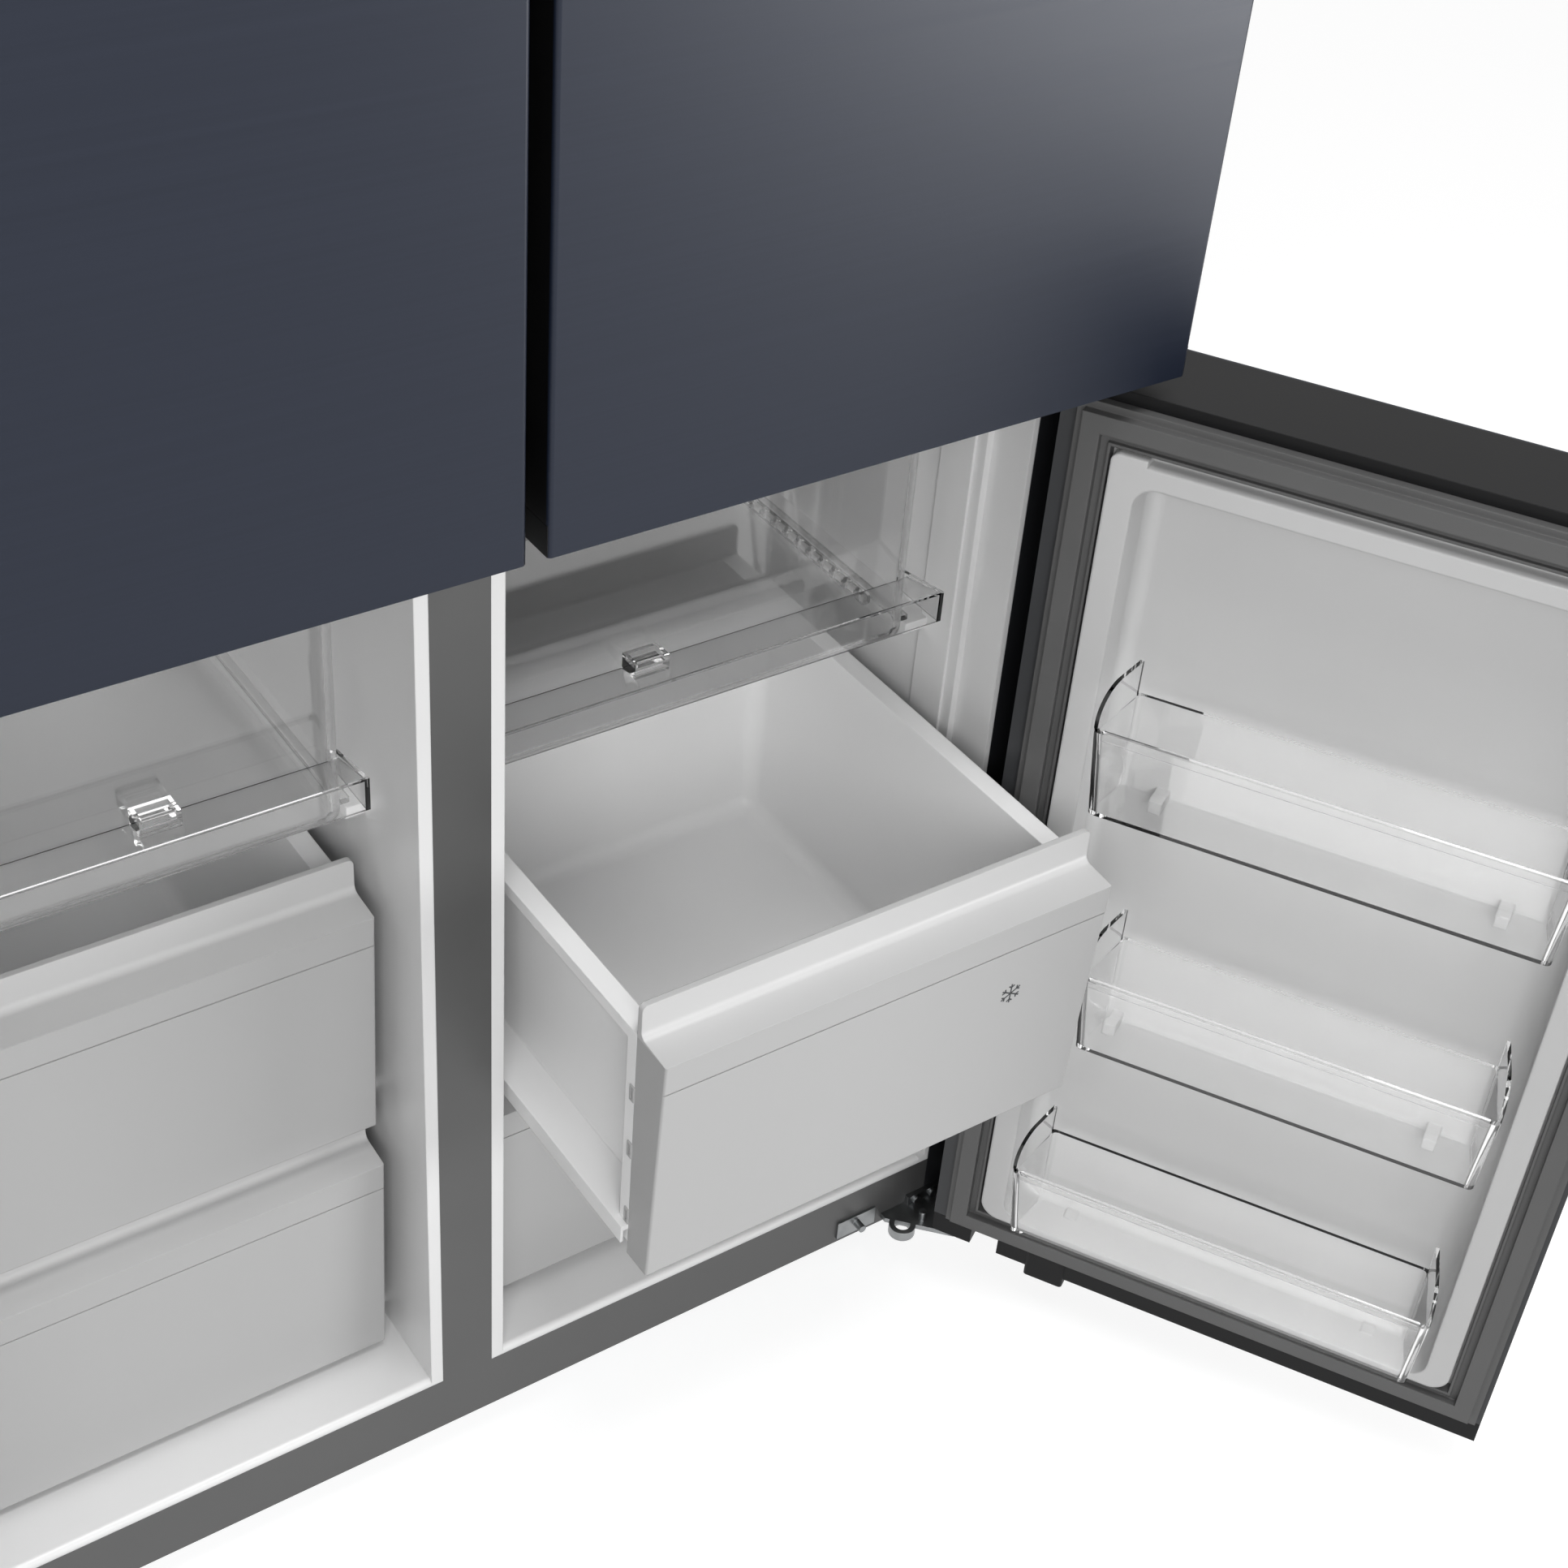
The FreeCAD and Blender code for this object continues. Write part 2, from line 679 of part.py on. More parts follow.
def rack(name, side, low, height, short):
    """A clear door rack: a tray with a leaning front and ends that close in to the back, a band and ears."""
    lo = "pocket_lo + rack_play"
    hi = "pocket_hi - rack_play - %s" % short
    length = "%s - (%s)" % (hi, lo)
    left = span(side, lo, hi)[0]
    at = (left, "rack_back", low)

    def tray(part, inset, head):
        plan = profile(name + part + "_plan", "xy", at, [
            ("rack_taper + " + inset, inset), ("%s - rack_taper - %s" % (length, inset), inset),
            ("%s - %s" % (length, inset), "rack_depth - " + inset), (inset, "rack_depth - " + inset)], head)
        rise = profile(name + part + "_rise", "yz", at, [
            ("0", inset), ("rack_depth - rack_lean - " + inset, inset), ("rack_depth - " + inset, head),
            ("0", head)], length)
        return rounded(name + part, both(name + part + "_form", plan, rise), "rack_round", upright)

    shell = cut(name + "_shell", tray("_tray", "0", height), tray("_hollow", "rack_wall", height + " + over"))
    fall = "rack_lean * rack_band / (%s)" % height
    band = profile(name + "_band", "yz", ("%s + 3 * rack_wall" % left, "rack_back", low), [
        ("rack_depth - rack_wall - rack_band_thick - " + fall, height + " - rack_band"),
        ("rack_depth - rack_wall / 2 - " + fall, height + " - rack_band"),
        ("rack_depth - rack_wall / 2", height), ("rack_depth - rack_wall - rack_band_thick", height)],
        length + " - 6 * rack_wall")
    near = "rack_taper * (1 - rack_round / rack_depth)"
    far = "rack_taper * rack_round / rack_depth"
    right = "%s + %s" % (left, length)
    rim = "%s + %s" % (low, height)
    ears = []
    for end, start, way, x in (("left", "0", "+", (left, left + " + rack_taper + rack_wall")),
                               ("right", length, "-", (right + " - rack_taper - rack_wall", right))):
        plan = profile("%s_ear_%s_plan" % (name, end), "xy", (left, "rack_back", rim + " - over"), [
            ("%s %s %s" % (start, way, near), "rack_round"),
            ("%s %s (%s + rack_wall)" % (start, way, near), "rack_round"),
            ("%s %s (%s + rack_wall)" % (start, way, far), "rack_depth - rack_round"),
            ("%s %s %s" % (start, way, far), "rack_depth - rack_round")], "rack_ear + over")
        arch = box("%s_ear_%s_block" % (name, end), x, ("rack_back + rack_round", "rack_reach - rack_round"),
                   (rim + " - over", rim + " + rack_ear"))
        arch = rounded("%s_ear_%s_arch" % (name, end), arch, "ear_round", top_rear)
        ears.append(both("%s_ear_%s" % (name, end), plan, arch))
    return fuse(name, shell, band, *ears)


for tag, side, low, high, lower in DOORS:
    inner_low = low + " + cap_height"
    inner_high = high + " - cap_height"
    skin_outer = rounded(tag + "_skin_block", box(
        tag + "_skin_box", span(side, "free_edge", "half_width"), ("-door_front", "-door_inner"),
        (low, high)),
        "edge_round", upright_front)
    skin_hollow = box(tag + "_skin_hollow", span(side, "free_edge + door_sheet", "half_width - door_sheet"),
                      ("door_sheet - door_front", "-door_inner - door_sheet"),
                      (low + " - over", high + " + over"))
    skin_mouth = box(tag + "_skin_mouth", span(side, "free_edge + door_return", "half_width - hinge_return"),
                     ("-door_inner - 2 * door_sheet", "over - door_inner"),
                     (low + " - over", high + " + over"))
    skin_ends = [box("%s_skin_%s" % (tag, end), span(side, "0", "half_width + over"),
                     ("door_sheet - door_front", "0"), z)
                 for end, z in (("foot", (low + " - over", inner_low)),
                                ("head", (inner_high, high + " + over")))]
    skin = node(tag + "_skin", cut(tag + "_skin", skin_outer, skin_hollow, skin_mouth, *skin_ends))

    caps = []
    for end, z, hole in (("low", (low, inner_low), low), ("high", (inner_high, high), high + " - pin_seat")):
        cap = box("%s_cap_%s" % (tag, end), span(side, "free_edge", "half_width"),
                  ("door_sheet - door_front", "-door_inner"), z)
        tools = [rod("%s_socket_%s" % (tag, end), ("%d * hinge_side" % side, "-hinge_front", hole),
                     "pin_radius + pin_clear", "pin_seat")]
        if lower and end == "low":
            block = box(tag + "_stop_block", span(side, "hinge_side - stop_block_in - stop_block / 2",
                                                  "hinge_side - stop_block_in + stop_block / 2"),
                        ("-hinge_front", "-stop_reach - stop_clear"), (low + " - stop_block_drop", inner_low))
            cap = fuse(tag + "_cap_form", cap, rounded(tag + "_stop", block, "edge_round", upright))
            tools.append(box(tag + "_post_slot", span(side, "hinge_side - post_in - post_slot / 2",
                                                      "hinge_side - post_in + post_slot"),
                             ("-post_front - post_slot / 2", "over - door_inner"),
                             (low + " - over", low + " + post_slot")))
        caps.append(cut("%s_cap_%s_bored" % (tag, end), cap, *tools))
    caps = node(tag + "_caps", fuse(tag + "_caps", *caps))

    sill = "seal_foot" if lower else "seal_end"
    rim_low = "%s + %s + seal_width + rim_gap" % (low, sill)
    rim_high = high + " - seal_end - seal_width - rim_gap"
    filling = box(tag + "_filling", span(side, "free_edge + door_sheet", "half_width - door_sheet"),
                  ("door_sheet - door_front", "-door_inner - door_sheet"), (inner_low, inner_high))
    facing = box(tag + "_facing", span(side, "free_edge + door_return", "half_width - hinge_return"),
                 ("-door_inner - 2 * door_sheet", "-door_inner"), (inner_low, inner_high))
    rim = box(tag + "_rim_block", span(side, "rim_lo", "rim_hi"), ("-door_inner - rim_base", "-seal_clear"),
              (rim_low, rim_high))
    rim = rounded(tag + "_rim_foot", rim, "pocket_round", through_low)
    rim = rounded(tag + "_rim", rim, "tab_round", through_top)
    pocket_low = rim_low + (" + rim_foot" if lower else " + rim_width")
    pocket = rounded(tag + "_pocket_sides", box(
        tag + "_pocket_block", span(side, "pocket_lo", "pocket_hi"), ("-pocket_depth", "rim_base"),
        (pocket_low, rim_high + " - rim_width")), "pocket_round", through)
    pocket = rounded(tag + "_pocket", pocket, "pocket_base_round", deepest)
    notch = box(tag + "_rim_notch", span(side, "rim_lo + rim_tab", "rim_hi - rim_tab"),
                ("-door_inner", "over"),
                (rim_high + " - rim_notch", rim_high + " + over"))
    height = "rack_height" if lower else "shelf_rack_height"
    levels = ("rack_a_low", "rack_b_low", "rack_c_low") if lower else ("shelf_rack_a", "shelf_rack_b",
        "shelf_rack_c")
    lugs = []
    racks = []
    for level in levels:
        short = "rack_b_short" if level == "rack_b_low" else "0"
        racks.append(rack("%s_%s" % (tag, level), side, level, height, short))
        for end, a in (("free", "pocket_lo + lug_inset"), ("hinge", "pocket_hi - lug_inset - rack_lug")):
            lugs.append(box("%s_lug_%s_%s" % (tag, level, end), span(side, a, a + " + rack_lug"),
                            ("-pocket_depth - over", "rack_back + rack_lug"),
                            ("%s - rack_lug - seal_clear" % level, "%s - seal_clear" % level)))
    solid = cut(tag + "_liner_form", fuse(tag + "_liner_block", filling, facing, rim), pocket, notch)
    liner = node(tag + "_liner", fuse(tag + "_liner", solid, *lugs))
    racks = node(tag + "_racks", fuse(tag + "_racks", *racks))

    foot = frame(tag + "_seal_foot", side, "0", ("-door_inner", "-door_inner / 2"), low, high, sill,
                 "seal_width")
    bulb = frame(tag + "_seal_bulb", side, "bulb_inset", ("-door_inner / 2 - over", "-seal_clear"), low, high,
                 sill, "seal_width - 2 * bulb_inset - seal_fin")
    fin = frame(tag + "_seal_edge", side, "seal_width - seal_fin",
                ("-door_inner / 2 - over", "-door_inner / 4"), low, high, sill, "seal_fin")
    gasket = node(tag + "_gasket", fuse(tag + "_gasket", foot, bulb, fin))
    if lower:
        for piece in (skin, caps, liner, racks, gasket):
            swing(piece, side)

# Freezer drawers


def drawer_front(name, side, low, forward):
    """The moulded front: a leaning face, a coved finger ledge and an upright plate behind it."""
    x = span(side, "drawer_in", "drawer_out")
    y = "drawer_front - (%s)" % forward
    body = profile(
        name + "_body", "yz", (x[0], y, low),
        [("front_set_back", "0"), ("front_thick", "0"), ("front_thick", "plate_height"),
         ("plate_front", "plate_height"), ("plate_front", "ledge_back"), ("0", "front_height")],
        "drawer_out - drawer_in")
    body = rounded(name + "_coved", body, "ledge_round", ledge_corner)
    eased = rounded(name + "_eased", body, "plate_round", through_top)
    eased = rounded(name + "_soft", eased, "front_round", leaning_front)
    seam = box(name + "_seam", span(side, "drawer_in - over", "drawer_out + over"),
               (y + " - over", y + " + front_set_back * seam_drop / front_height + seam_cut"),
               ("%s + front_height - seam_drop - seam_cut" % low, "%s + front_height - seam_drop" % low))
    return cut(name, eased, seam)


def drawer_tub(name, side, low, forward, depth, ribs):
    """The tub behind the front: tapered, rounded inside, with lipped side rims and ribbed runners."""
    front = "drawer_front + front_thick - (%s)" % forward
    rear = "%s + %s" % (front, depth)
    top = "%s + plate_height - tub_rim_drop" % low
    bottom = "%s + tub_rise" % low
    lo = "drawer_in + tub_rim_width"
    hi = "drawer_out - tub_rim_width"
    block = rounded(name + "_block", tapered(name + "_outer", span(side, lo, hi), (front, rear),
                                             (bottom, top),
                                             "tub_taper"), "tub_round", rear_half)
    rim = rounded(name + "_rim", box(name + "_rim_plate", span(side, "drawer_in", "drawer_out"),
                                     (front, rear),
                                     (top + " - tub_rim_thick", top)), "tub_rim_width", upright_rear)
    flange = box(name + "_flange", span(side, "drawer_in", "drawer_out"), (front, front + " + tub_flange"),
                 (bottom, top))
    parts = [block, rim, flange]
    runner = "%s + runner_rise" % low
    ledge = "%s + runner_lip" % runner
    end = rear + " - tub_round"
    for edge, a, b, lip in (
            ("in", "drawer_in - runner_reach", lo + " + tub_taper + over", "drawer_in"),
            ("out", hi + " - tub_taper - over", "drawer_out + runner_reach", "drawer_out - runner_rib")):
        outer = a if edge == "in" else b + " - runner_rib"
        parts.append(box("%s_rim_lip_%s" % (name, edge), span(side, lip, lip + " + runner_rib"), (front, end),
                         (top + " - tub_rim_lip", top)))
        parts.append(box("%s_ledge_%s" % (name, edge), span(side, a, b), (front, end),
                         (ledge, ledge + " + runner_thick")))
        parts.append(box("%s_skirt_%s" % (name, edge), span(side, outer, outer + " + runner_rib"),
                         (front, end),
                         (runner, ledge + " + over")))
        for i in range(ribs):
            start = "%s + (%s - tub_round) * %.1f / %d" % (front, depth, i + 0.5, ribs)
            parts.append(box("%s_rib_%s_%d" % (name, edge, i), span(side, a, b),
                             (start, start + " + runner_rib"),
                             (runner, ledge + " + over")))
    hollow = rounded(name + "_hollow_back", tapered(
        name + "_inside", span(side, lo + " + tub_wall", hi + " - tub_wall"),
        (front + " + tub_wall", rear + " - tub_wall"), (bottom + " + tub_wall", top + " + over"),
        "tub_taper"),
        "tub_round", rear_half_or_bottom)
    return cut(name, fuse(name + "_form", *parts), hollow)


for side, tag in SIDES:
    for place, low, depth, ribs in (("mid", "mid_drawer_low", "mid_tub_depth", 11),
                                    ("low", "low_drawer_low", "low_tub_depth", 10)):
        forward = "drawn_out" if (place, side) == ("mid", 1) else "0"
        name = "%s_%s" % (place, tag)
        node(name + "_front", drawer_front(name + "_front", side, low, forward))
        node(name + "_tub", drawer_tub(name + "_tub", side, low, forward, depth, ribs))

    name = "clear_drawer_" + tag
    front = "drawer_front + clear_lip"
    rear = "drawer_front + front_thick + mid_tub_depth"
    low = "top_drawer_low"
    high = "top_drawer_low + clear_height"
    block = rounded(name + "_block", box(name + "_outer", span(side, "drawer_in", "drawer_out"),
                                         (front, rear),
                                         (low, high)), "clear_round",
                    upright_or_bottom)
    hollow = rounded(name + "_inside", box(
        name + "_hollow", span(side, "drawer_in + tub_wall", "drawer_out - tub_wall"),
        (front + " + tub_wall", rear + " - tub_wall"), (low + " + tub_wall", high + " + over")),
        "clear_round",
        upright_or_bottom)
    x = span(side, "drawer_in", "drawer_out")
    parts = [profile(
        name + "_nose", "yz", (x[0], "drawer_front", low),
        [("0", "clear_nose_low"), ("0", "clear_nose_high"),
         ("clear_lip + over", "clear_nose_high - clear_nose_fall"),
         ("clear_lip + over", "clear_nose_high - clear_nose_fall - tub_wall"),
         ("tub_wall", "clear_nose_high - tub_wall"),
         ("tub_wall", "clear_nose_low")], "drawer_out - drawer_in")]
    for edge, a in (("in", "drawer_in"), ("out", "drawer_out - tub_wall")):
        cheek = span(side, a, a + " + tub_wall")
        parts.append(profile(
            "%s_cheek_%s" % (name, edge), "yz", (cheek[0], "drawer_front", low),
            [("0", "clear_nose_low"), ("0", "clear_nose_high"),
             ("clear_lip + clear_round + over", "clear_nose_high - clear_nose_fall"),
             ("clear_lip + clear_round + over", "clear_nose_low")], "tub_wall"))
        reach = span(side, "drawer_in - runner_reach", "drawer_in + over") if edge == "in" else span(
            side, "drawer_out - over", "drawer_out + runner_reach")
        parts.append(box("%s_ledge_%s" % (name, edge), reach,
                         ("drawer_front + front_thick + clear_round", rear + " - tub_round"),
                         (low + " + runner_rise", low + " + runner_rise + runner_thick")))
    clip_low = low + " + clear_nose_high - clear_nose_fall"
    clip = box(name + "_clip_block", span(side, "drawer_in + clip_side",
                                          "drawer_in + clip_side + clip_width"),
               (front + " - clip_depth", front + " - over"),
               (clip_low, clip_low + " + clear_nose_fall + clip_height"))
    clip_eye = box(name + "_clip_eye", span(side, "drawer_in + clip_side + tub_wall",
                                            "drawer_in + clip_side + clip_width - tub_wall"),
                   (front + " - clip_depth + tub_wall", front + " - over - tub_wall"),
                   (clip_low + " + clear_nose_fall", clip_low + " + clear_nose_fall + clip_height + over"))
    parts.append(cut(name + "_clip", clip, clip_eye))
    guide = box(name + "_guide_bar", span(side, "drawer_out - tub_wall - guide_size",
                                          "drawer_out - tub_wall / 2"),
                (front + " + guide_first", front + " + guide_first + guide_length"),
                (low + " + guide_rise", low + " + guide_rise + guide_size"))
    notches = []
    for i in range(13):
        start = "%s + guide_first + guide_notch + %d * guide_pitch" % (front, i)
        notches.append(box("%s_guide_notch_%d" % (name, i),
                           span(side, "drawer_out - tub_wall - guide_size - over",
                                                                "drawer_out - tub_wall - over"),
                           (start, start + " + guide_notch"),
                           (low + " + guide_rise + over", low + " + guide_rise + guide_size + over")))
    parts.append(cut(name + "_guide", guide, *notches))
    node(name, fuse(name, cut(name + "_shell", block, hollow), *parts))

# Door hinges

bottom_plates = []
mid_plates = []
top_plates = []
screws = []
for side, tag in SIDES:
    x = "%d * hinge_side" % side
    y = "-hinge_front"
    outer = "hinge_side + pin_radius + hinge_margin"
    nose_y = "-hinge_front - pin_radius - hinge_margin"

    def arm(name, low, tail):
        """A flat arm that widens from the cabinet's face to the pin."""
        points = [("hinge_side - %s" % tail, "0"), ("hinge_side - %s" % tail, "-hinge_margin"),
                  ("hinge_side - hinge_arm / 2", nose_y), (outer, nose_y), (outer, "0")]
        if side < 0:
            points = [("-(%s)" % a, b) for a, b in points]
        plate = profile(name + "_plate", "xy", ("0", "0", low), points, "hinge_plate")
        return rounded(name + "_arm", plate, "arm_round", upright_front)

    low = "lower_door_low - hinge_plate - pin_clear"
    flange = box("low_flange_" + tag, span(side, "hinge_side - hinge_arm", outer),
                 ("-hinge_plate", "0"), ("base_height", "lower_door_low + low_flange_rise"))
    pin = rod("low_pin_" + tag, (x, y, low), "pin_radius", "hinge_plate + pin_seat - over")
    post = rod("low_post_" + tag, ("%d * (hinge_side - post_in)" % side, "-post_front", low), "post_radius",
               "lower_door_low + low_flange_rise - (%s)" % low)
    cam_at = ("%d * (hinge_side - cam_in)" % side, "-cam_front", low + " + hinge_plate - cam_height")
    cam = cut("low_cam_" + tag, rod("low_curl_" + tag, cam_at, "cam_radius", "cam_height"),
              rod("low_eye_" + tag, (cam_at[0], cam_at[1], cam_at[2] + " - over"), "cam_radius - cam_wall",
                  "cam_height + 2 * over"))
    bottom_plates.append(fuse("hinge_low_" + tag, arm("low_" + tag, low, "hinge_tail"), flange, pin, post,
                              cam))

    low = "(lower_door_high + upper_door_low) / 2 - hinge_plate / 2"
    flange = box("mid_flange_" + tag, span(side, "hinge_side - hinge_arm", outer), ("-hinge_plate", "0"),
                 ("lower_door_high - seal_end + over", "upper_door_low + seal_end - over"))
    pin = rod("mid_pin_" + tag, (x, y, "lower_door_high - pin_seat + over"), "pin_radius",
              "upper_door_low - lower_door_high + 2 * pin_seat - 2 * over")
    mid_plates.append(fuse("hinge_mid_" + tag, arm("mid_" + tag, low, "hinge_arm"), flange, pin))

    pad = box("top_pad_" + tag, span(side, "hinge_side - hinge_arm", outer), (nose_y, "hinge_arm * 2"),
              ("case_top", "case_top + hinge_plate"))
    pad = rounded("top_plate_" + tag, pad, "arm_round", upright)
    pin = rod("top_pin_" + tag, (x, y, "upper_door_high - pin_seat + over"), "pin_radius",
              "case_top - upper_door_high + pin_seat + hinge_plate - over")
    top_plates.append(fuse("hinge_top_" + tag, pad, pin))

    for i, inset in enumerate(("hinge_arm / 4", "hinge_arm * 3 / 4")):
        screws.append(rod("screw_low_%s_%d" % (tag, i), (
            "%d * (hinge_side - %s)" % (side, inset), "-hinge_plate - screw_head",
            "lower_door_low + low_flange_rise - over - screw_radius"), "screw_radius", "screw_head", "y"))
    for i, back in enumerate(("hinge_arm / 2", "hinge_arm * 3 / 2")):
        screws.append(rod("screw_top_%s_%d" % (tag, i), (
            "%d * (hinge_side - hinge_arm / 3)" % side, back, "case_top + hinge_plate"), "screw_radius",
            "screw_head"))
node("hinge_low", fuse("hinge_low", *bottom_plates))
node("hinge_mid", fuse("hinge_mid", *mid_plates))
node("hinge_top", fuse("hinge_top", *top_plates))
node("hinge_screws", fuse("hinge_screws", *screws))

# Feet and machine compartment

feet = []
for side, tag in SIDES:
    for end, y in (("front", "foot_front"), ("rear", "foot_rear")):
        x = "%d * foot_side" % side
        pad = doc.addObject("Part::Cone", "foot_pad_%s_%s" % (end, tag))
        pad.setExpression("Radius1", ex("foot_radius"))
        pad.setExpression("Radius2", ex("foot_neck"))
        pad.setExpression("Height", ex("foot_pad"))
        pad.setExpression("Placement.Base.x", ex(x))
        pad.setExpression("Placement.Base.y", ex(y))
        feet.append(fuse("foot_%s_%s" % (end, tag), pad,
                         rod("foot_stem_%s_%s" % (end, tag), (x, y, "0"), "foot_stem", "base_height")))
node("feet", fuse("feet", *feet))

node("machine_plate", box("machine_plate", ("sheet - half_width", "half_width - sheet"),
                          ("machine_front + sheet", "case_depth - sheet"), ("base_height", "machine_floor")))
cover = box("cover_sheet", ("sheet - half_width", "half_width - sheet"), ("case_depth - sheet", "case_depth"),
            ("base_height", "machine_top"))
slots = []
for i in range(9):
    start = "%d * slot_pitch - slot_first" % i
    slot = box("cover_slot_%d" % i, (start, start + " + slot_width"),
               ("case_depth - 2 * sheet", "case_depth + over"),
               ("base_height + slot_low", "machine_top - slot_high"))
    slots.append(rounded("cover_slot_round_%d" % i, slot, "bead_round", through))
node("machine_cover", cut("machine_cover", cover, *slots))

can_low = "machine_floor + compressor_lift"
can = rod("compressor_can", ("-compressor_side", "machine_mid", can_low), "compressor_radius",
          "compressor_height - compressor_dome")
shoulder = doc.addObject("Part::Cone", "compressor_shoulder")
shoulder.setExpression("Radius1", ex("compressor_radius"))
shoulder.setExpression("Radius2", ex("compressor_crown"))
shoulder.setExpression("Height", ex("compressor_dome"))
for key, value in zip("xyz", ("-compressor_side", "machine_mid",
                              can_low + " + compressor_height - compressor_dome")):
    shoulder.setExpression("Placement.Base." + key, ex(value))
weld = rod("compressor_weld", ("-compressor_side", "machine_mid", can_low + " + compressor_height / 2"),
           "compressor_radius + weld_proud", "weld_height")
plate = box("compressor_base", ("-compressor_side - mount_x - mount_radius",
                                "mount_x + mount_radius - compressor_side"),
            ("machine_mid - mount_y - mount_radius", "machine_mid + mount_y + mount_radius"),
            (can_low + " - compressor_plate", can_low))
plate = rounded("compressor_plate", plate, "bead_round", upright)
mounts = [rod("compressor_mount_%d%d" % (i, j), (
    "%d * mount_x - compressor_side" % i, "machine_mid + %d * mount_y" % j, "machine_floor"), "mount_radius",
    "compressor_lift") for i in (1, -1) for j in (1, -1)]
node("compressor", fuse("compressor", can, shoulder, weld, plate, *mounts))


def fins(name, x, y, z, pitch, thick, count):
    """A finned block: a row of plates left by cutting slots into one block."""
    block = box(name + "_block", x, y, z)
    gaps = []
    for i in range(count):
        start = "%s + %s + %d * %s" % (x[0], thick, i, pitch)
        gaps.append(box("%s_gap_%d" % (name, i), (start, "%s + %s - %s" % (start, pitch, thick)),
                        ("%s - over" % y[0], "%s - fin_web" % y[1]),
                        ("%s + fin_foot" % z[0], "%s + over" % z[1])))
    return cut(name, block, *gaps)


BLADES = 5
BLADE_PITCH = 28


def wheel(name, at, axis, radius, thick, hub, bore):
    """A fan wheel: a bored hub with pitched blades."""
    turn = TURNS[axis]
    base = dict(zip("xyz", at))
    core = cut(name + "_hub", rod(name + "_boss", at, hub, thick, axis),
               rod(name + "_bore", at, bore, thick, axis))
    blades = []
    for i in range(BLADES):
        blade = doc.addObject("Part::Box", "%s_blade_%d" % (name, i))
        way = turn * FreeCAD.Rotation(FreeCAD.Vector(0, 0, 1), 360 * i / BLADES)
        way = way * FreeCAD.Rotation(FreeCAD.Vector(1, 0, 0), BLADE_PITCH)
        blade.Placement = FreeCAD.Placement(FreeCAD.Vector(), way)
        blade.setExpression("Length", ex("%s - %s * 0.85" % (radius, hub)))
        blade.setExpression("Width", ex("%s * 1.5" % thick))
        blade.setExpression("Height", ex("fan_blade"))
        out = way.multVec(FreeCAD.Vector(1, 0, 0))
        across = way.multVec(FreeCAD.Vector(0, 1, 0))
        along = turn.multVec(FreeCAD.Vector(0, 0, 1))
        for key in "xyz":
            blade.setExpression("Placement.Base." + key, ex(
                "%s + (%.9f) * %s * 0.85 - (%.9f) * %s * 0.75 + (%.9f) * %s / 2"
                % (base[key], getattr(out, key), hub, getattr(across, key), thick, getattr(along, key),
                   thick)))
        blades.append(blade)
    return fuse(name, core, *blades)


node("condenser", fins("condenser", ("condenser_side",
                                     "condenser_side + condenser_pitch * 16 + condenser_fin"),
                       ("machine_front + condenser_front", "case_depth - condenser_back"),
                       ("machine_floor", "machine_top - condenser_head"), "condenser_pitch",
                       "condenser_fin", 16))

shroud_y = ("machine_front + sheet + shroud_gap", "case_depth - sheet - shroud_gap")
shroud_z = ("machine_floor", "machine_top - sheet - shroud_gap")
shroud_x = ("fan_side", "fan_side + shroud_sheet")
fan_at = ("machine_mid", "fan_height")
shroud = box("shroud_plate", shroud_x, shroud_y, shroud_z)
throat = rod("shroud_throat", ("fan_side - over",) + fan_at, "fan_radius + shroud_gap",
             "shroud_sheet + 2 * over", "x")
strut = box("shroud_strut", shroud_x, ("machine_mid - strut_half", "machine_mid + strut_half"), shroud_z)
motor = rod("shroud_motor", ("fan_side",) + fan_at, "fan_hub", "motor_length", "x")
shaft = rod("shroud_shaft", ("fan_side + motor_length - over",) + fan_at, "fan_shaft",
            "fan_thick + motor_margin", "x")
node("fan_shroud", fuse("fan_shroud", cut("shroud_ring", shroud, throat), strut, motor, shaft))
node("condenser_fan", wheel("condenser_fan", ("fan_side + motor_length + spin_clear",) + fan_at, "x",
                            "fan_radius",
                            "fan_thick", "fan_hub", "fan_shaft + pin_clear"))

# Freezer air ducts, evaporator and its fan

for side, tag in SIDES:
    plate = box("duct_plate_" + tag, span(side, "lip_in", "lip_out"), ("duct_face", "duct_face + duct_sheet"),
                ("duct_low", "beam_low"))
    vents = []
    for row, low in enumerate(("duct_low + vent_low", "mid_drawer_low + vent_mid",
                               "top_drawer_low + vent_top")):
        for column in range(4):
            a = "lip_in + vent_inset + %d * vent_pitch" % column
            vents.append(box("duct_vent_%s_%d_%d" % (tag, row, column), span(side, a, a + " + vent_width"),
                             ("duct_face - over", "duct_face + duct_sheet + over"),
                             (low, low + " + vent_height")))
    node("duct_cover_" + tag, cut("duct_cover_" + tag, plate, *vents))

